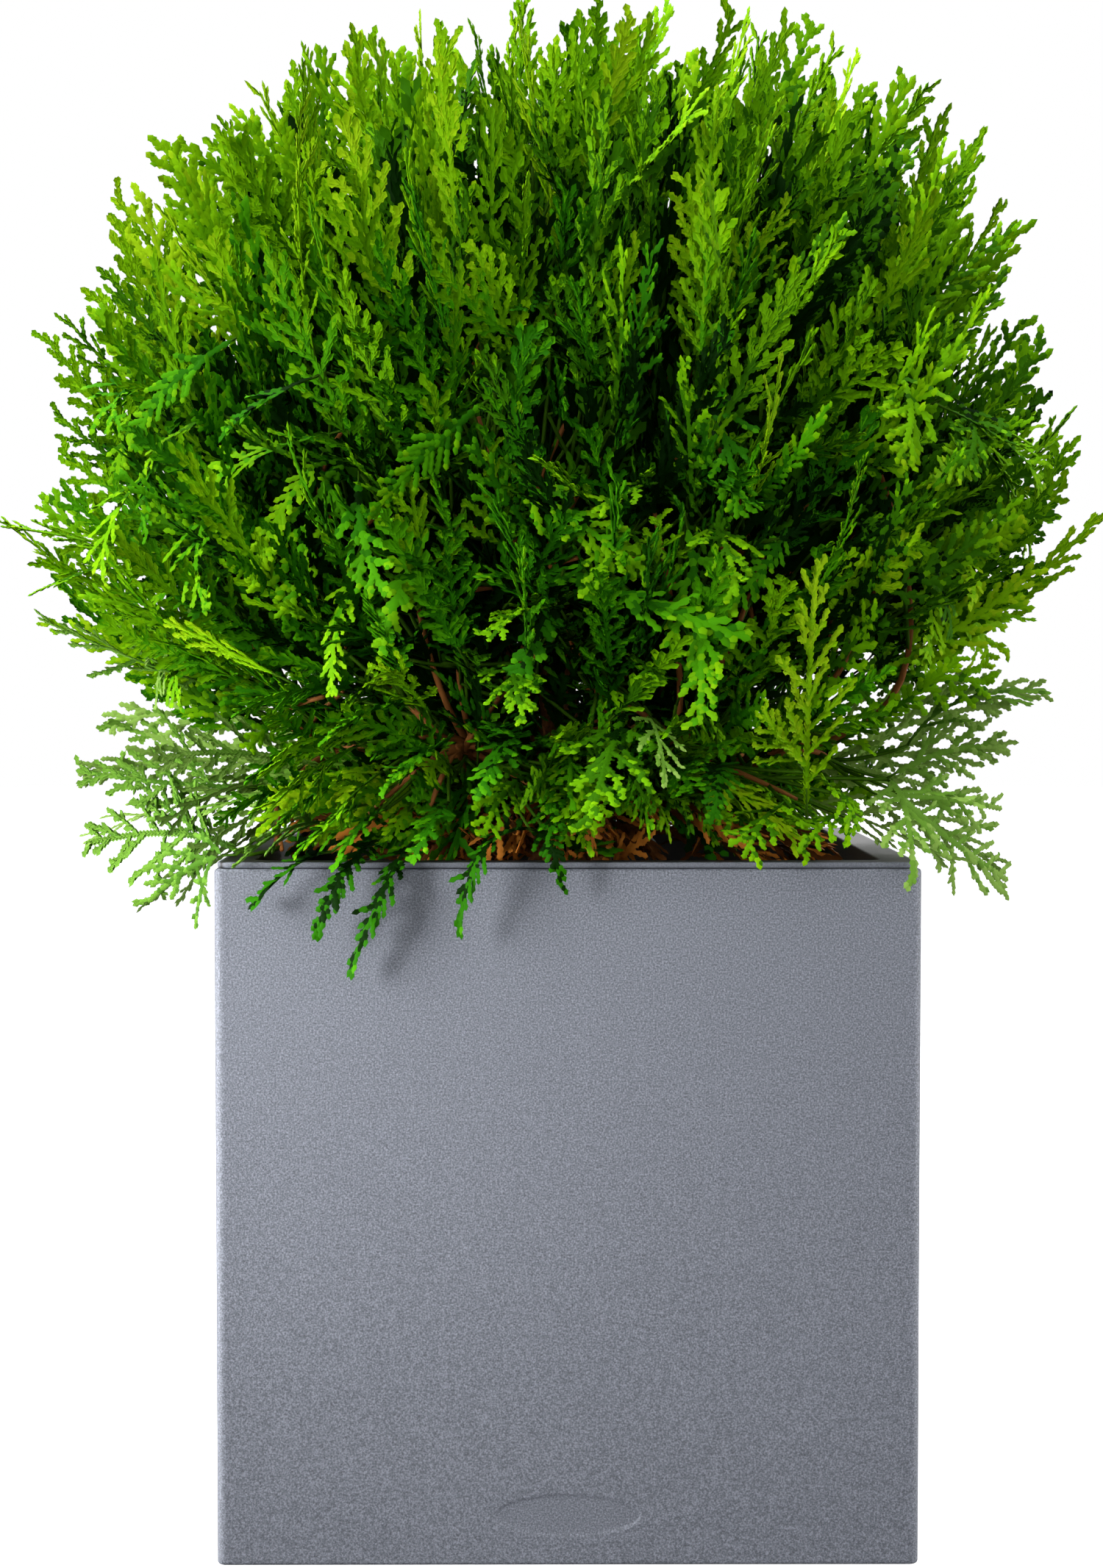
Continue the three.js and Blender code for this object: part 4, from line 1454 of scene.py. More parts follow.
@dataclass
class Foliage:
    """All sprays of the crown, grown by the source's rule and joined by colour."""

    form: CrownForm
    random: np.random.Generator
    outer: int = 1180
    inner: int = 760
    loose: int = 66
    skirt: int = 160
    ground: int = 185
    dead: int = 80
    outer_depth: tuple[float, float] = (0.22, 0.15)
    inner_share: tuple[float, float] = (0.46, 0.84)
    loose_rise: tuple[float, float] = (-0.5, 0.1)
    loose_share: tuple[float, float] = (0.84, 0.97)
    loose_length: tuple[float, float] = (48.0, 84.0)
    sink: float = 12.0
    stalk: float = 58.0
    lowest_root: float = 9.0
    root_jitter: float = 0.17
    arch: float = 0.12
    curl: float = 0.19
    arch_z: float = 360.0
    curl_z: float = 470.0
    lengths: tuple[float, ...] = (48.0, 62.0, 78.0, 95.0, 115.0, 140.0)
    comb_most: tuple[float, ...] = (10.0, 14.0)
    tone_steps: tuple[float, ...] = (0.12, 0.38, 0.62, 0.86)
    leaf_spread: float = 0.08
    low_thinning: float = 0.9
    upright_share: tuple[float, float] = (0.24, 0.7)
    open_below: tuple[float, float] = (-13.0, -22.0)
    open_sideways: tuple[float, float] = (0.66, 0.82)
    half_height: float = 235.0
    half_width: float = 250.0
    tone_mean: float = 0.4
    tone_spread: float = 0.15
    # Tone terms: top is partly its own yellower colour and partly painted light; left, outline and low paint light;
    # depth paints shade.
    tone_high_and_painted_light: float = 0.12
    tone_painted_light_left: float = 0.2
    tone_painted_outline_light: float = 0.24
    tone_low: float = 0.42
    tone_painted_shade_depth: float = 1.6
    tone_youth_and_painted_shade: float = 0.56
    mix_half: float = 133.0
    mix_top: float = 281.0
    planter_half: float = 151.5
    rim_top: float = 301.5
    sprays: Sprays | None = None

    def roots(self, tips: Array, stalk: float = 0.0) -> Array:
        """Roots of sprays: sunk in the crown's heart on the way from the split to the tip, never low down.

        Args:
            tips: The sprays' tips.
            stalk: The most that a root may stand out of the heart on a longer twig.

        Returns:
            The roots.
        """
        way = unit(tips - self.form.split)
        count = len(tips)
        azimuth = np.arctan2(way[:, 1], way[:, 0]) + self.random.uniform(-1, 1, count) * self.root_jitter
        elevation = np.arcsin(np.clip(way[:, 2], -1, 1)) + self.random.uniform(-1, 1, count) * self.root_jitter
        low = math.radians(self.lowest_root)
        direction = towards(azimuth, np.clip(elevation, low, math.pi / 2))
        distance = self.form.heart.distance(self.form.split_z, direction) - self.sink
        distance = distance + self.random.uniform(0, 1, count) * stalk
        return self.form.split + direction * distance[:, None]

    def bends(self, roots: Array, tips: Array) -> Array:
        """Middle control points: low sprays arch over, high ones curl up, in step with the tip's height.

        Args:
            roots: The sprays' roots.
            tips: The sprays' tips.

        Returns:
            The control points.
        """
        span = np.linalg.norm(tips - roots, axis=1)
        share = np.clip((tips[:, 2] - self.arch_z) / (self.curl_z - self.arch_z), 0, 1)
        lift = mixed(self.arch, -self.curl, share) + self.random.uniform(-0.04, 0.04, len(tips))
        side = self.random.normal(0, 0.05, (len(tips), 3)) * span[:, None]
        return mixed(roots, tips, 0.55) + UP * (span * lift)[:, None] + side

    def tones(self, tips: Array, depth: Array | float = 0.0) -> Array:
        """Colour tones of sprays from 0, the darkest, to 1, the lightest and youngest.

        Lighter towards the top is partly the top's own yellower colour and partly painted light; lighter towards the
        upper left, the outline and low down at the sides is painted light, and darker further inside is painted shade.

        Args:
            tips: The sprays' tips.
            depth: How far inside the crown's reach each tip is, as a share of the reach.

        Returns:
            The tones.
        """
        # Painted light and shade: lighter at the top, upper left, outline and low sides; darker deep inside.
        high = (tips[:, 2] - self.form.centre_z) / self.half_height
        left = np.clip(-tips[:, 0] / self.half_width, -1, 1) * np.clip(high, 0, 1)
        rim = np.hypot(tips[:, 0], tips[:, 2] - self.form.centre_z) / self.half_height
        low = smooth_step(-0.1, -0.6, high) * smooth_step(20.0, 120.0, np.abs(tips[:, 0]))
        tone = self.tone_mean + self.tone_high_and_painted_light * high + self.tone_painted_light_left * left + self.tone_painted_outline_light * (rim - 0.6)
        tone = tone + self.tone_low * low - self.tone_painted_shade_depth * depth
        return tone + self.random.normal(0, self.tone_spread, len(tips))

    def even_directions(self, count: int) -> Array:
        """Directions spread evenly over the crown: each turns on by the golden angle as its height falls evenly.

        The crown is open low down at both sides: most directions are left out that point below open_below degrees
        and further aside than open_sideways, each given first for the right and then for the left.

        Args:
            count: Directions on a whole ball; those below the lowest spray are left out.

        Returns:
            Unit vectors.
        """
        number = np.arange(count)
        height = 1 - 2 * (number + 0.5) / count
        elevation = np.arcsin(height)
        turns = number * math.pi * (3 - math.sqrt(5))
        keep = elevation > math.radians(self.form.lowest_spray)
        thin = self.random.uniform(0, 1, count) < self.low_thinning
        right = np.cos(turns) > 0
        low = elevation < np.radians(np.where(right, *self.open_below))
        sideways = np.abs(np.cos(turns)) > np.where(right, *self.open_sideways)
        return towards(turns, elevation)[keep & ~(thin & low & sideways)]

    def rolls(self, tips: Array) -> Array:
        """Turns of sprays about their own curves: some are upright fans, the others show their flat side outwards.

        Args:
            tips: The sprays' tips.

        Returns:
            The turns in radians.
        """
        count = len(tips)
        turns = self.random.normal(0, 1, count) * mixed(0.55, 0.75, smooth_step(430.0, 540.0, tips[:, 2]))
        sideways = np.abs(tips[:, 0]) / np.maximum(np.hypot(tips[:, 0], tips[:, 1]), 1.0)
        upright = self.random.uniform(0, 1, count) < mixed(*self.upright_share, sideways**2)
        fans = self.random.choice([-1.0, 1.0], count) * math.pi / 2 + self.random.normal(0, 0.35, count)
        return np.where(upright, fans, turns)

    def gathered(self, roots: Array, tips: Array, breadth: Array, tone: Array, family: Family = Family.WARM) -> Sprays:
        """Sprays with their bends, rolls and twists drawn at random.

        Args:
            roots: Their roots.
            tips: Their tips.
            breadth: Their widths as shares of the pattern's.
            tone: Their tones.
            family: The family of all of them.

        Returns:
            The sprays.
        """
        count = len(tips)
        twist = self.random.normal(0, 0.4, count)
        families = np.full(count, family.number)
        return Sprays(roots, self.bends(roots, tips), tips, self.rolls(tips), twist, breadth, tone, families)

    def outer_sprays(self) -> Sprays:
        """Sprays that make the crown's face, most of them near its full reach.

        Returns:
            The sprays.
        """
        out = self.even_directions(self.outer)
        count = len(out)
        depth = mixed(*self.outer_depth, smooth_step(0.3, 0.8, out[:, 2])) * self.random.uniform(0, 1, count) ** 1.4
        tips = self.form.centre + out * (self.form.reach(out) * (1.0 - depth))[:, None]
        breadth = self.random.uniform(0.82, 1.18, count)
        return self.gathered(self.roots(tips, self.stalk), tips, breadth, self.tones(tips, depth))

    def loose_sprays(self) -> Sprays:
        """Sprays that lie across the others or hang over them, most of them low on the crown.

        Returns:
            The sprays.
        """
        azimuth = self.random.uniform(0, 2 * math.pi, self.loose)
        elevation = self.random.uniform(*self.loose_rise, self.loose)
        out = towards(azimuth, elevation)
        reach = self.form.reach(out)[:, None]
        tips = self.form.centre + out * reach * self.random.uniform(*self.loose_share, (self.loose, 1))
        around = np.stack([-out[:, 1], out[:, 0], 0 * azimuth], axis=1) * self.random.normal(0, 0.6, (self.loose, 1))
        aside = unit(around + UP * self.random.uniform(0.2, 1.0, (self.loose, 1)))
        length = self.random.uniform(*self.loose_length, (self.loose, 1))
        roots = tips + aside * length * 0.86 - out * length * 0.5
        sprays = self.gathered(roots, tips, self.random.uniform(0.9, 1.15, self.loose), self.tones(tips) + 0.05)
        sprays.bend = mixed(roots, tips, 0.5) + out * length * 0.3
        sprays.roll = self.random.normal(0, 0.5, self.loose)
        return sprays

    def marked_sprays(self) -> Sprays:
        """Returns the sprays whose tips the CAD source marks."""
        marked = np.array(MARKED_TIPS, float)
        tips = marked[:, :3]
        return self.gathered(self.roots(tips), tips, marked[:, 3], self.tones(tips) + 0.06)

    def shown_sprays(self, plans: Sequence[ShownSpray]) -> Sprays:
        """Turns planned sprays into arrays.

        Args:
            plans: The plans.

        Returns:
            The sprays.
        """
        curve = [np.array([getattr(plan, part) for plan in plans], float) for part in ("root", "bend", "tip")]
        roll = np.radians([plan.roll for plan in plans])
        breadth, tone = np.array([(plan.breadth, 0.8 * plan.tone) for plan in plans]).T
        family = np.array([plan.family.number for plan in plans])
        return Sprays(*curve, roll, np.full(len(plans), 0.2), breadth, tone, family)

    def inner_sprays(self) -> Sprays:
        """Sprays inside the crown, which keep it from being seen through; their low tones paint the shade inside it.

        Returns:
            The sprays.
        """
        number = np.arange(self.inner)
        elevation = np.arcsin(1 - 1.8 * (number + 0.5) / self.inner)
        out = towards(number * math.pi * (3 - math.sqrt(5)), elevation)
        share = self.random.uniform(*self.inner_share, self.inner) + 0.07 * smooth_step(0.3, 0.9, out[:, 2])
        beside = smooth_step(-0.15, -0.45, out[:, 2]) * smooth_step(0.5, 0.8, np.abs(out[:, 0]))
        share = share * (1.0 - 0.42 * beside)
        tips = self.form.centre + out * (self.form.reach(out) * share)[:, None]
        tips[:, 2] = np.maximum(tips[:, 2], self.random.uniform(304, 330, self.inner))
        roots = mixed(self.form.split, tips, 0.45) + UP * self.random.uniform(-8, 10, (self.inner, 1))
        # Painted shade: low tones give the darkest kinds; a little lighter towards the top as painted light.
        tone = self.random.uniform(-0.25, 0.08, self.inner) + 0.15 * smooth_step(0.5, 1.0, out[:, 2])
        return self.gathered(roots, tips, self.random.uniform(0.9, 1.2, self.inner), tone)

    def low_points(self, level: Array, reach: tuple[float, float | Array], height: tuple[float, float]) -> Array:
        """Points over the planter at random reaches from the axis and random heights.

        Args:
            level: Level directions, an array (points, 3).
            reach: Least and most reach.
            height: Least and most height.

        Returns:
            The points.
        """
        size = (len(level), 1)
        return level * self.random.uniform(*reach, size) + UP * self.random.uniform(*height, size)

    def skirt_sprays(self) -> Sprays:
        """Low sprays all round between the crown and the rim, denser in front and behind than at the sides.

        Returns:
            The sprays.
        """
        azimuth = self.random.uniform(0, 2 * math.pi, self.skirt)
        azimuth = azimuth + 0.45 * np.sin(2 * azimuth)
        count = len(azimuth)
        level = towards(azimuth, np.zeros(count))
        far = 190.0 - 40.0 * smooth_step(0.5, 0.8, np.abs(level[:, :1]))
        tips = self.low_points(level, (110, far), (304, 350))
        roots = self.low_points(level, (50, 96), (312, 350))
        # Painted light: lighter towards the sides.
        tone = self.random.uniform(0.1, 0.5, count) + 0.2 * smooth_step(40.0, 130.0, np.abs(tips[:, 0]))
        return self.gathered(roots, tips, self.random.uniform(0.8, 1.05, count), tone)

    def ground_sprays(self) -> Sprays:
        """Dark sprays that fill the space just over the potting mix round the trunk, most of them behind it; their dark
        tones paint the shade there.

        Returns:
            The sprays.
        """
        count = self.ground
        azimuth = self.random.uniform(0, 2 * math.pi, count)
        azimuth[::2] = self.random.normal(math.pi / 2, 0.6, len(azimuth[::2]))
        level = towards(azimuth, np.zeros(count))
        roots, tips = self.low_points(level, (24, 70), (300, 372)), self.low_points(level, (84, 138), (292, 366))
        # Painted shade: low tones give dark kinds.
        tone = self.random.uniform(-0.15, 0.35, count)
        return self.gathered(roots, tips, self.random.uniform(0.9, 1.3, count), tone, Family.GREEN)

    def dead_sprays(self) -> Sprays:
        """Brown dead sprays close to the potting mix and the trunk, most of them in front.

        Returns:
            The sprays.
        """
        azimuth = self.random.uniform(0, 2 * math.pi, self.dead)
        azimuth[::2] = self.random.normal(-math.pi / 2, 0.5, len(azimuth[::2]))
        level = towards(azimuth, np.zeros(self.dead))
        roots, tips = self.low_points(level, (36, 84), (288, 330)), self.low_points(level, (92, 142), (284, 326))
        breadth = self.random.uniform(0.6, 0.9, self.dead)
        return self.gathered(roots, tips, breadth, self.random.uniform(0, 0.8, self.dead), Family.DEAD)

    def grow(self) -> Sprays:
        """Plans all detailed sprays and deals out their families by place.

        Returns:
            The sprays.
        """
        groups = [self.outer_sprays(), self.loose_sprays(), self.marked_sprays(), self.skirt_sprays()]
        sprays = Sprays.joined(groups)
        tip, count = sprays.tip, len(sprays.tip)
        # Painted shade: sprays near the crown's shaded middle take the greener family, the hue of shade.
        away = np.hypot(tip[:, 0] + 60, 1.35 * (tip[:, 2] - 440))
        shade_green = self.random.uniform(0, 1, count) < 0.85 * smooth_step(250.0, 120.0, away)
        sprays.family[shade_green] = Family.GREEN.number
        low = (tip[:, 2] < 372 + self.random.normal(0, 14, count)) & (np.abs(tip[:, 0]) > 150)
        sprays.family[low] = Family.BLUISH.number
        # Painted light: low side sprays get lighter tones, more on the right.
        sprays.tone[low] += 0.12 + 0.14 * (tip[low, 0] > 0)
        self.sprays = Sprays.joined([sprays, self.shown_sprays(SHOWN_SPRAYS)])
        return self.sprays

    def leaf_kinds(self, sprays: Sprays, youth_and_painted_shade: Array) -> Array:
        """Deals colours out: a spray's tone, a little lighter towards its young ends and darker towards its root as
        painted shade, falls into steps.

        Args:
            sprays: The sprays.
            youth_and_painted_shade: Youth of each leaf of the pattern, lower towards the spray's root as painted shade.

        Returns:
            Kinds, an array (sprays, leaves).
        """
        tone = sprays.tone[:, None] + self.tone_youth_and_painted_shade * (youth_and_painted_shade[None] - 0.48)
        tone += self.random.normal(0, self.leaf_spread, tone.shape)
        return Family.table()[sprays.family[:, None], np.digitize(tone, self.tone_steps)]

    def dressed(self, sprays: Sprays, patterns: list[SprayPattern]) -> tuple[Array, Array, Array]:
        """Lays patterns on sprays, each spray getting one of the patterns nearest its own length.

        Args:
            sprays: The sprays.
            patterns: The patterns, several for each length.

        Returns:
            Leaves (leaves, 5, 3), their kinds and their masses.
        """
        sizes = np.array([pattern.length for pattern in patterns])
        gap = np.abs(np.log(sprays.length()[:, None] / sizes[None]))
        gap += self.random.uniform(0, 0.16, gap.shape)
        picks = gap.argmin(axis=1)
        points, kinds, masses = [], [], []
        mass = self.form.nearest(sprays.tip)
        for number, pattern in enumerate(patterns):
            own = np.flatnonzero(picks == number)
            if not len(own):
                continue
            flat, youth_and_painted_shade = pattern.leaves()
            group = sprays.chosen(own)
            laid = group.place(flat.reshape(-1, 3), pattern.length)
            points.append(laid.reshape(-1, 5, 3))
            kinds.append(self.leaf_kinds(group, youth_and_painted_shade).ravel())
            masses.append(np.repeat(mass[own], len(youth_and_painted_shade)))
        return np.concatenate(points), np.concatenate(kinds), np.concatenate(masses)

    def branched(self, times: int, **shape: Any) -> list[SprayPattern]:
        """Returns branched patterns of one shape: several for each length but the shortest."""
        return [SprayPattern(size, self.random, **shape).grown() for size in self.lengths[1:] for _ in range(times)]

    def patterns(self) -> list[SprayPattern]:
        """Returns the detailed patterns: branched ones, and combs for short sprays."""
        return self.branched(3) + self.comb_patterns(self.lengths[:3])

    def comb_patterns(self, lengths: Sequence[float]) -> list[SprayPattern]:
        """Combs: patterns whose side shoots have no lobes.

        Args:
            lengths: Lengths of the patterns.

        Returns:
            The patterns, one for each length and longest shoot.
        """
        comb = {"shoot_pitch": (2.3,), "shoot_share": (0.24,), "shoot_least": (4.2,), "shoot_angle": (48.0,)}
        return [
            SprayPattern(size, self.random, shoot_most=(most,), **comb).grown()
            for size in lengths
            for most in self.comb_most
        ]

    def open_patterns(self) -> list[SprayPattern]:
        """Returns patterns for the low sprays at the sides, whose shoots and lobes stand apart."""
        apart = {"shoot_pitch": (7.6, 3.7), "shoot_share": (0.44, 0.12), "shoot_most": (30.0, 5.4)}
        return self.branched(2, pitch=2.8, leaf_width=3.3, **apart)

    def fine_patterns(self) -> list[SprayPattern]:
        """Returns patterns for the sprays that are seen clearly: finer leaves and well parted lobes."""
        parted = {"shoot_pitch": (6.0, 3.5), "shoot_share": (0.4, 0.12), "shoot_most": (25.0, 5.4)}
        return self.branched(3, pitch=2.7, leaf_width=3.25, **parted)

    def coarse_patterns(self) -> list[SprayPattern]:
        """Returns plain patterns for the inside of the crown."""
        coarse = {"pitch": 4.6, "leaf_width": 4.2, "shoot_pitch": (6.4,), "shoot_share": (0.4,), "shoot_least": (6.0,)}
        return [SprayPattern(size, self.random, **coarse).grown() for size in (60.0, 85.0, 115.0, 150.0)]

    def build(self, maker: PieceMaker) -> None:
        """Makes the leaves' pieces: one for each ring and kind, split where it is too large.

        Args:
            maker: Makes the objects.
        """
        low = self.sprays.family == Family.BLUISH.number
        shown = ~low & (np.arange(len(low)) >= len(low) - len(SHOWN_SPRAYS))
        outer = self.dressed(self.sprays.chosen(~low & ~shown), self.patterns())
        sides = self.dressed(self.sprays.chosen(low), self.open_patterns())
        green = shown & (self.sprays.family == Family.GREEN.number)
        clear = self.dressed(self.sprays.chosen(shown & ~green), self.fine_patterns())
        combs = self.dressed(self.sprays.chosen(green), self.comb_patterns(self.lengths[:4]))
        inside = Sprays.joined([self.inner_sprays(), self.ground_sprays(), self.dead_sprays()])
        inner = self.dressed(inside, self.coarse_patterns())
        points, kinds, masses = [np.concatenate(parts) for parts in zip(outer, sides, clear, combs, inner)]
        free = self.clear_of_planter(points)
        points, kinds, masses = points[free], kinds[free], masses[free]
        labels, _, _, rings = self.form.sites()
        groups = {"high": ("top", "upper"), "middle": ("middle",), "low": ("lower",)}
        group_of = np.array([[r.name in names for names in groups.values()].index(True) for r in rings])
        finishes = {kind: finish.build(f"leaf_{kind.name.lower()}") for kind, finish in LEAF_FINISHES.items()}
        for number, group in enumerate(groups):
            nodes = [f"foliage_{label}" for i, label in enumerate(labels) if group_of[i] == number]
            for kind, finish in finishes.items():
                own = points[(group_of[masses] == number) & (kinds == kind.value)]
                self.make_pieces(maker, f"leaves_{group}_{kind.name.lower()}", own, finish, nodes)

    def clear_of_planter(self, points: Array) -> Array:
        """Tells which leaves have no point in the planter's wall or in the potting mix.

        Args:
            points: Leaves (leaves, 5, 3).

        Returns:
            True for each leaf that is clear of both.
        """
        side, height = np.abs(points[..., :2]).max(-1), points[..., 2]
        wall = (side > self.mix_half) & (side < self.planter_half) & (height < self.rim_top)
        buried = (side <= self.mix_half) & (height < self.mix_top)
        return ~(wall | buried).any(axis=1)

    def make_pieces(
        self,
        maker: PieceMaker,
        name: str,
        leaves: Array,
        finish: bpy.types.Material,
        nodes: list[str],
    ) -> None:
        """Makes one kind's pieces in one group of masses.

        Args:
            maker: Makes the objects.
            name: The pieces' name, with a letter added where there are several.
            leaves: Leaves (leaves, 5, 3).
            finish: Their material.
            nodes: CAD nodes that they replace.
        """
        if not len(leaves):
            return
        parts = math.ceil(len(leaves) * len(LEAF_TRIANGLES) / MOST_TRIANGLES)
        for number, part in enumerate(np.array_split(leaves, parts)):
            label = name if parts == 1 else f"{name}_{number + 1}"
            triangles = LEAF_TRIANGLES[None] + 5 * np.arange(len(part))[:, None, None]
            surface = Surface(part.reshape(-1, 3), triangles.reshape(-1, 3))
            maker.make(label, surface, finish, nodes)


@dataclass
class Twigs:
    """Stems, branches and twigs from the boughs' tips to the roots of the sprays."""

    form: CrownForm
    trunk: Trunk
    sprays: Sprays
    random: np.random.Generator
    stem_inside: float = 26.0
    sprays_per_branch: int = 6
    cluster_rounds: int = 6
    branch_feet: tuple[float, float] = (0.15, 0.98)
    branch_bow: float = 0.45
    branch_sway: float = 0.06
    twig_feet: tuple[float, float] = (0.5, 1.0)
    twig_sag: float = 0.12
    branch_radius: tuple[float, float] = (1.9, 1.0)
    twig_radius: tuple[float, float] = (1.0, 0.75)
    shoot_radius: tuple[float, float] = (0.8, 0.5)
    shoot_share: float = 0.15

    def clusters(self, roots: Array) -> Array:
        """Shares roots out among branches: each goes to the nearest middle, and middles move to their roots' mean.

        Args:
            roots: Roots of one mass's sprays.

        Returns:
            The branch number of each root.
        """
        count = max(2, round(len(roots) / self.sprays_per_branch))
        middles = roots[np.linspace(0, len(roots) - 1, count).astype(int)]
        for _ in range(self.cluster_rounds):
            near = np.linalg.norm(roots[:, None] - middles[None], axis=2).argmin(axis=1)
            middles = np.array([roots[near == i].mean(0) if (near == i).any() else middles[i] for i in range(count)])
        return near

    def tapered(self, controls: Sequence[Array], radii: tuple[float, float], steps: int, sides: int) -> Surface:
        """Tubes along Bezier curves that taper evenly.

        Args:
            controls: Control points, each an array (tubes, 3).
            radii: First and last radius.
            steps: Rings along a tube.
            sides: Points round a ring.

        Returns:
            All tubes as one surface.
        """
        along = np.linspace(0, 1, steps)
        centres = bezier(controls, along)
        sizes = np.broadcast_to(mixed(radii[0], radii[1], along), centres.shape[:2])
        return tubes(centres, sizes, sides)

    def of_mass(self, number: int, own: Sprays) -> tuple[Surface, Surface]:
        """Grows the wood of one mass.

        Args:
            number: The mass's number.
            own: Its sprays.

        Returns:
            The brown wood of its stem and branches, and the green twigs.
        """
        _, _, directions, rings = self.form.sites()
        direction = directions[number]
        start = self.trunk.limbs[3][number]
        end = start + direction * (self.trunk.stem_outside + self.stem_inside)
        tip = rings[number].limb_tip
        stem = self.tapered([start[None], mixed(start, end, 0.5)[None], end[None]], (tip, 0.7 * tip), 6, 10)
        near = self.clusters(own.root)
        names = np.unique(near)
        feet = mixed(start, end, self.random.uniform(*self.branch_feet, len(names))[:, None])
        hubs = np.array([own.root[near == name].mean(0) for name in names])
        heads = mixed(hubs, self.form.split, 0.1)
        span = np.linalg.norm(heads - feet, axis=1, keepdims=True)
        sway = self.random.normal(0, self.branch_sway, feet.shape) * span
        branch = [feet, feet + direction * span * self.branch_bow + sway, heads]
        branches = self.tapered(branch, self.branch_radius, 12, 6)
        which = np.searchsorted(names, near)
        share = self.random.uniform(*self.twig_feet, len(which))
        off = bezier([part[which] for part in branch], share[:, None])[:, 0]
        out = unit(own.bend - own.root)
        length = np.linalg.norm(own.root - off, axis=1, keepdims=True)
        sagged = mixed(off, own.root, 0.55) - out * length * self.twig_sag
        twigs = self.tapered([off, sagged, own.root], self.twig_radius, 6, 4)
        return Surface.joined([stem, branches]), twigs

    def shoots(self, own: Sprays) -> Surface:
        """The woody foot of each spray's lead, which the leaves then take over.

        Args:
            own: The sprays.

        Returns:
            All feet as one surface.
        """
        along = np.linspace(0, self.shoot_share, 5)
        centres = bezier([own.root, own.bend, own.tip], along)
        sizes = np.broadcast_to(mixed(*self.shoot_radius, along / self.shoot_share), centres.shape[:2])
        return tubes(centres, sizes, 3)

    def build(self, maker: PieceMaker) -> None:
        """Makes the wood of each ring of masses.

        Args:
            maker: Makes the objects.
        """
        labels, _, _, rings = self.form.sites()
        twig, shoot = TWIG_FINISH.build("twig_brown"), SHOOT_FINISH.build("shoot_olive")
        mass = self.form.nearest(self.sprays.tip)
        for ring in self.form.rings:
            numbers = [i for i, own in enumerate(rings) if own is ring]
            nodes = [f"foliage_{labels[i]}" for i in numbers]
            parts = [self.of_mass(i, self.sprays.chosen(mass == i)) for i in numbers]
            wood, twigs = [Surface.joined(kind) for kind in zip(*parts)]
            maker.make(f"twigs_{ring.name}", wood, twig, nodes)
            own = self.sprays.chosen(np.isin(mass, numbers))
            green = Surface.joined([twigs, self.shoots(own)])
            maker.make(f"shoots_{ring.name}", green, shoot, nodes)


# Studio


@dataclass(frozen=True)
class SoftLight:
    """A large square lamp that looks at the plant."""

    name: str
    place: tuple[float, float, float]
    size: float
    power: float
    spread: float = 180.0
    aim: tuple[float, float, float] = (0.0, 0.0, 0.46)

    def build(self) -> None:
        """Makes the lamp."""
        data = bpy.data.lights.new(self.name, "AREA")
        data.size = self.size
        data.energy = self.power
        data.spread = math.radians(self.spread)
        lamp = bpy.data.objects.new(self.name, data)
        lamp.location = self.place
        lamp.rotation_euler = (Vector(self.aim) - lamp.location).to_track_quat("-Z", "Y").to_euler()
        bpy.context.scene.collection.objects.link(lamp)


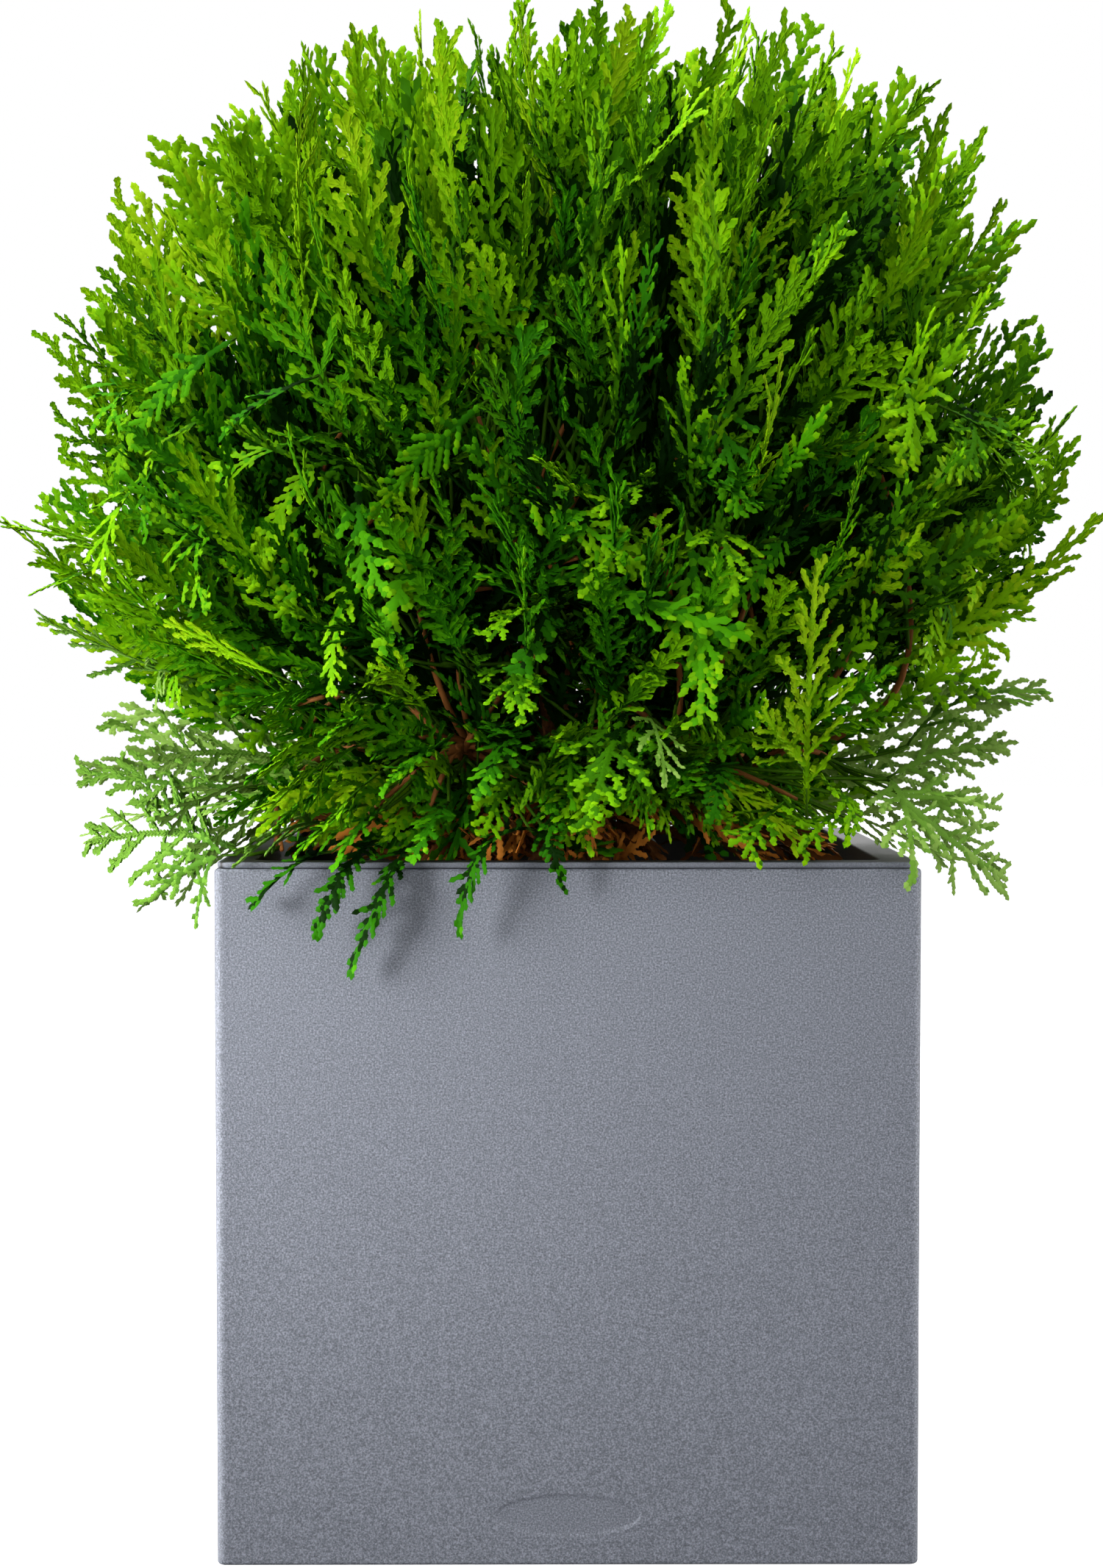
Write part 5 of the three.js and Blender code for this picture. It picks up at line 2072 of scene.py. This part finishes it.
@dataclass(frozen=True)
class Studio:
    """Pale floor, white surroundings, soft lamps and the camera at the photograph's place."""

    from_above: float = 0.34
    from_below: float = 0.05
    floor_half: float = 9.0
    floor_glow: float = 0.85
    lens: float = 70.7
    eye: tuple[float, float, float] = (-0.0135, -1.451, 0.3795)
    pitch: float = -2.021
    pan: float = 0.286
    lamps: tuple[SoftLight, ...] = (
        SoftLight("key", (-1.2, -1.35, 0.85), 1.3, 4.9, 48.0),
        SoftLight("fill", (0.2, -1.8, 0.55), 0.9, 0.75, 46.0),
        SoftLight("top", (-0.3, 0.0, 1.9), 1.4, 48.0),
        SoftLight("side", (1.6, -0.7, 1.0), 1.2, 1.0, 70.0),
        SoftLight("edge_left", (-1.9, 0.4, 0.45), 1.6, 2.0, 70.0),
        SoftLight("edge_right", (1.9, 0.4, 0.45), 1.6, 2.0, 70.0),
        SoftLight("back", (0.5, 1.9, 0.9), 1.4, 3.0, 60.0),
        SoftLight("rim", (-0.75, -1.15, 0.4), 0.3, 0.25, 24.0, (-0.17, -0.15, 0.26)),
        SoftLight("pot_left", (-1.6, -0.15, 0.14), 0.3, 1.2, 30.0, (-0.15, -0.15, 0.14)),
        SoftLight("pot_right", (1.6, -0.15, 0.14), 0.3, 0.6, 30.0, (0.15, -0.15, 0.14)),
    )

    def world(self) -> None:
        """Makes surroundings that look white and light the plant softly, more from above than from below."""
        world = bpy.data.worlds.new("surroundings")
        bpy.context.scene.world = world
        world.use_nodes = True
        graph = Graph(world.node_tree)
        seen = graph.node("ShaderNodeLightPath").outputs["Is Camera Ray"]
        way = graph.node("ShaderNodeTexCoord").outputs["Generated"]
        height = Value(graph, graph.node("ShaderNodeSeparateXYZ", None, {0: way}).outputs[2])
        strength = height.between(-0.5, 0.8) * (self.from_above - self.from_below) + self.from_below
        dim = graph.node("ShaderNodeBackground", None, {"Color": (1, 1, 1, 1), "Strength": strength})
        white = graph.node("ShaderNodeBackground", None, {"Color": (1, 1, 1, 1), "Strength": 1.0})
        mix = graph.node("ShaderNodeMixShader", None, {0: seen, 1: dim.outputs[0], 2: white.outputs[0]})
        graph.node("ShaderNodeOutputWorld", None, {"Surface": mix.outputs[0]})

    def floor(self) -> None:
        """Makes the pale floor, level with the planter's underside. It takes shadows and throws little light back."""
        half = self.floor_half
        mesh = bpy.data.meshes.new("floor")
        mesh.from_pydata([(-half, -half, 0), (half, -half, 0), (half, half, 0), (-half, half, 0)], [], [(0, 1, 2, 3)])
        material, graph = new_material("floor_white")
        pale = (0.86, 0.86, 0.86, 1.0)
        inputs = {"Base Color": pale, "Roughness": 0.9, "Specular IOR Level": 0.0, "Emission Color": (1, 1, 1, 1)}
        graph.shade({**inputs, "Emission Strength": self.floor_glow})
        mesh.materials.append(material)
        floor = bpy.data.objects.new("floor", mesh)
        floor.visible_diffuse = False
        floor.visible_glossy = False
        bpy.context.scene.collection.objects.link(floor)

    def camera(self) -> None:
        """Makes the camera, turned a little down and to the right as in the photograph."""
        data = bpy.data.cameras.new("camera")
        data.lens = self.lens
        data.sensor_width = 36.0
        data.clip_start, data.clip_end = 0.05, 60.0
        camera = bpy.data.objects.new("camera", data)
        camera.location = self.eye
        pan, pitch = math.radians(self.pan), math.radians(self.pitch)
        way = Vector((math.sin(pan) * math.cos(pitch), math.cos(pan) * math.cos(pitch), math.sin(pitch)))
        camera.rotation_euler = way.to_track_quat("-Z", "Y").to_euler()
        bpy.context.scene.collection.objects.link(camera)
        bpy.context.scene.camera = camera

    def build(self) -> None:
        """Makes the whole studio."""
        self.camera()
        self.world()
        self.floor()
        for lamp in self.lamps:
            lamp.build()
        bpy.context.scene.view_settings.view_transform = "Standard"


def main() -> None:
    """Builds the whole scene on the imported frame."""
    logging.basicConfig(level=logging.INFO, format="%(name)s %(message)s")
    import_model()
    random = np.random.default_rng(SEED)
    maker = PieceMaker()
    form = CrownForm()
    Studio().build()
    planter = Planter()
    planter.build(maker, random)
    trunk = Trunk(form, planter.soil_top + planter.gap)
    trunk.build(maker, Bark().build())
    foliage = Foliage(form, random)
    sprays = foliage.grow()
    Twigs(form, trunk, sprays, random).build(maker)
    foliage.build(maker)


if __name__ == "__main__":
    main()
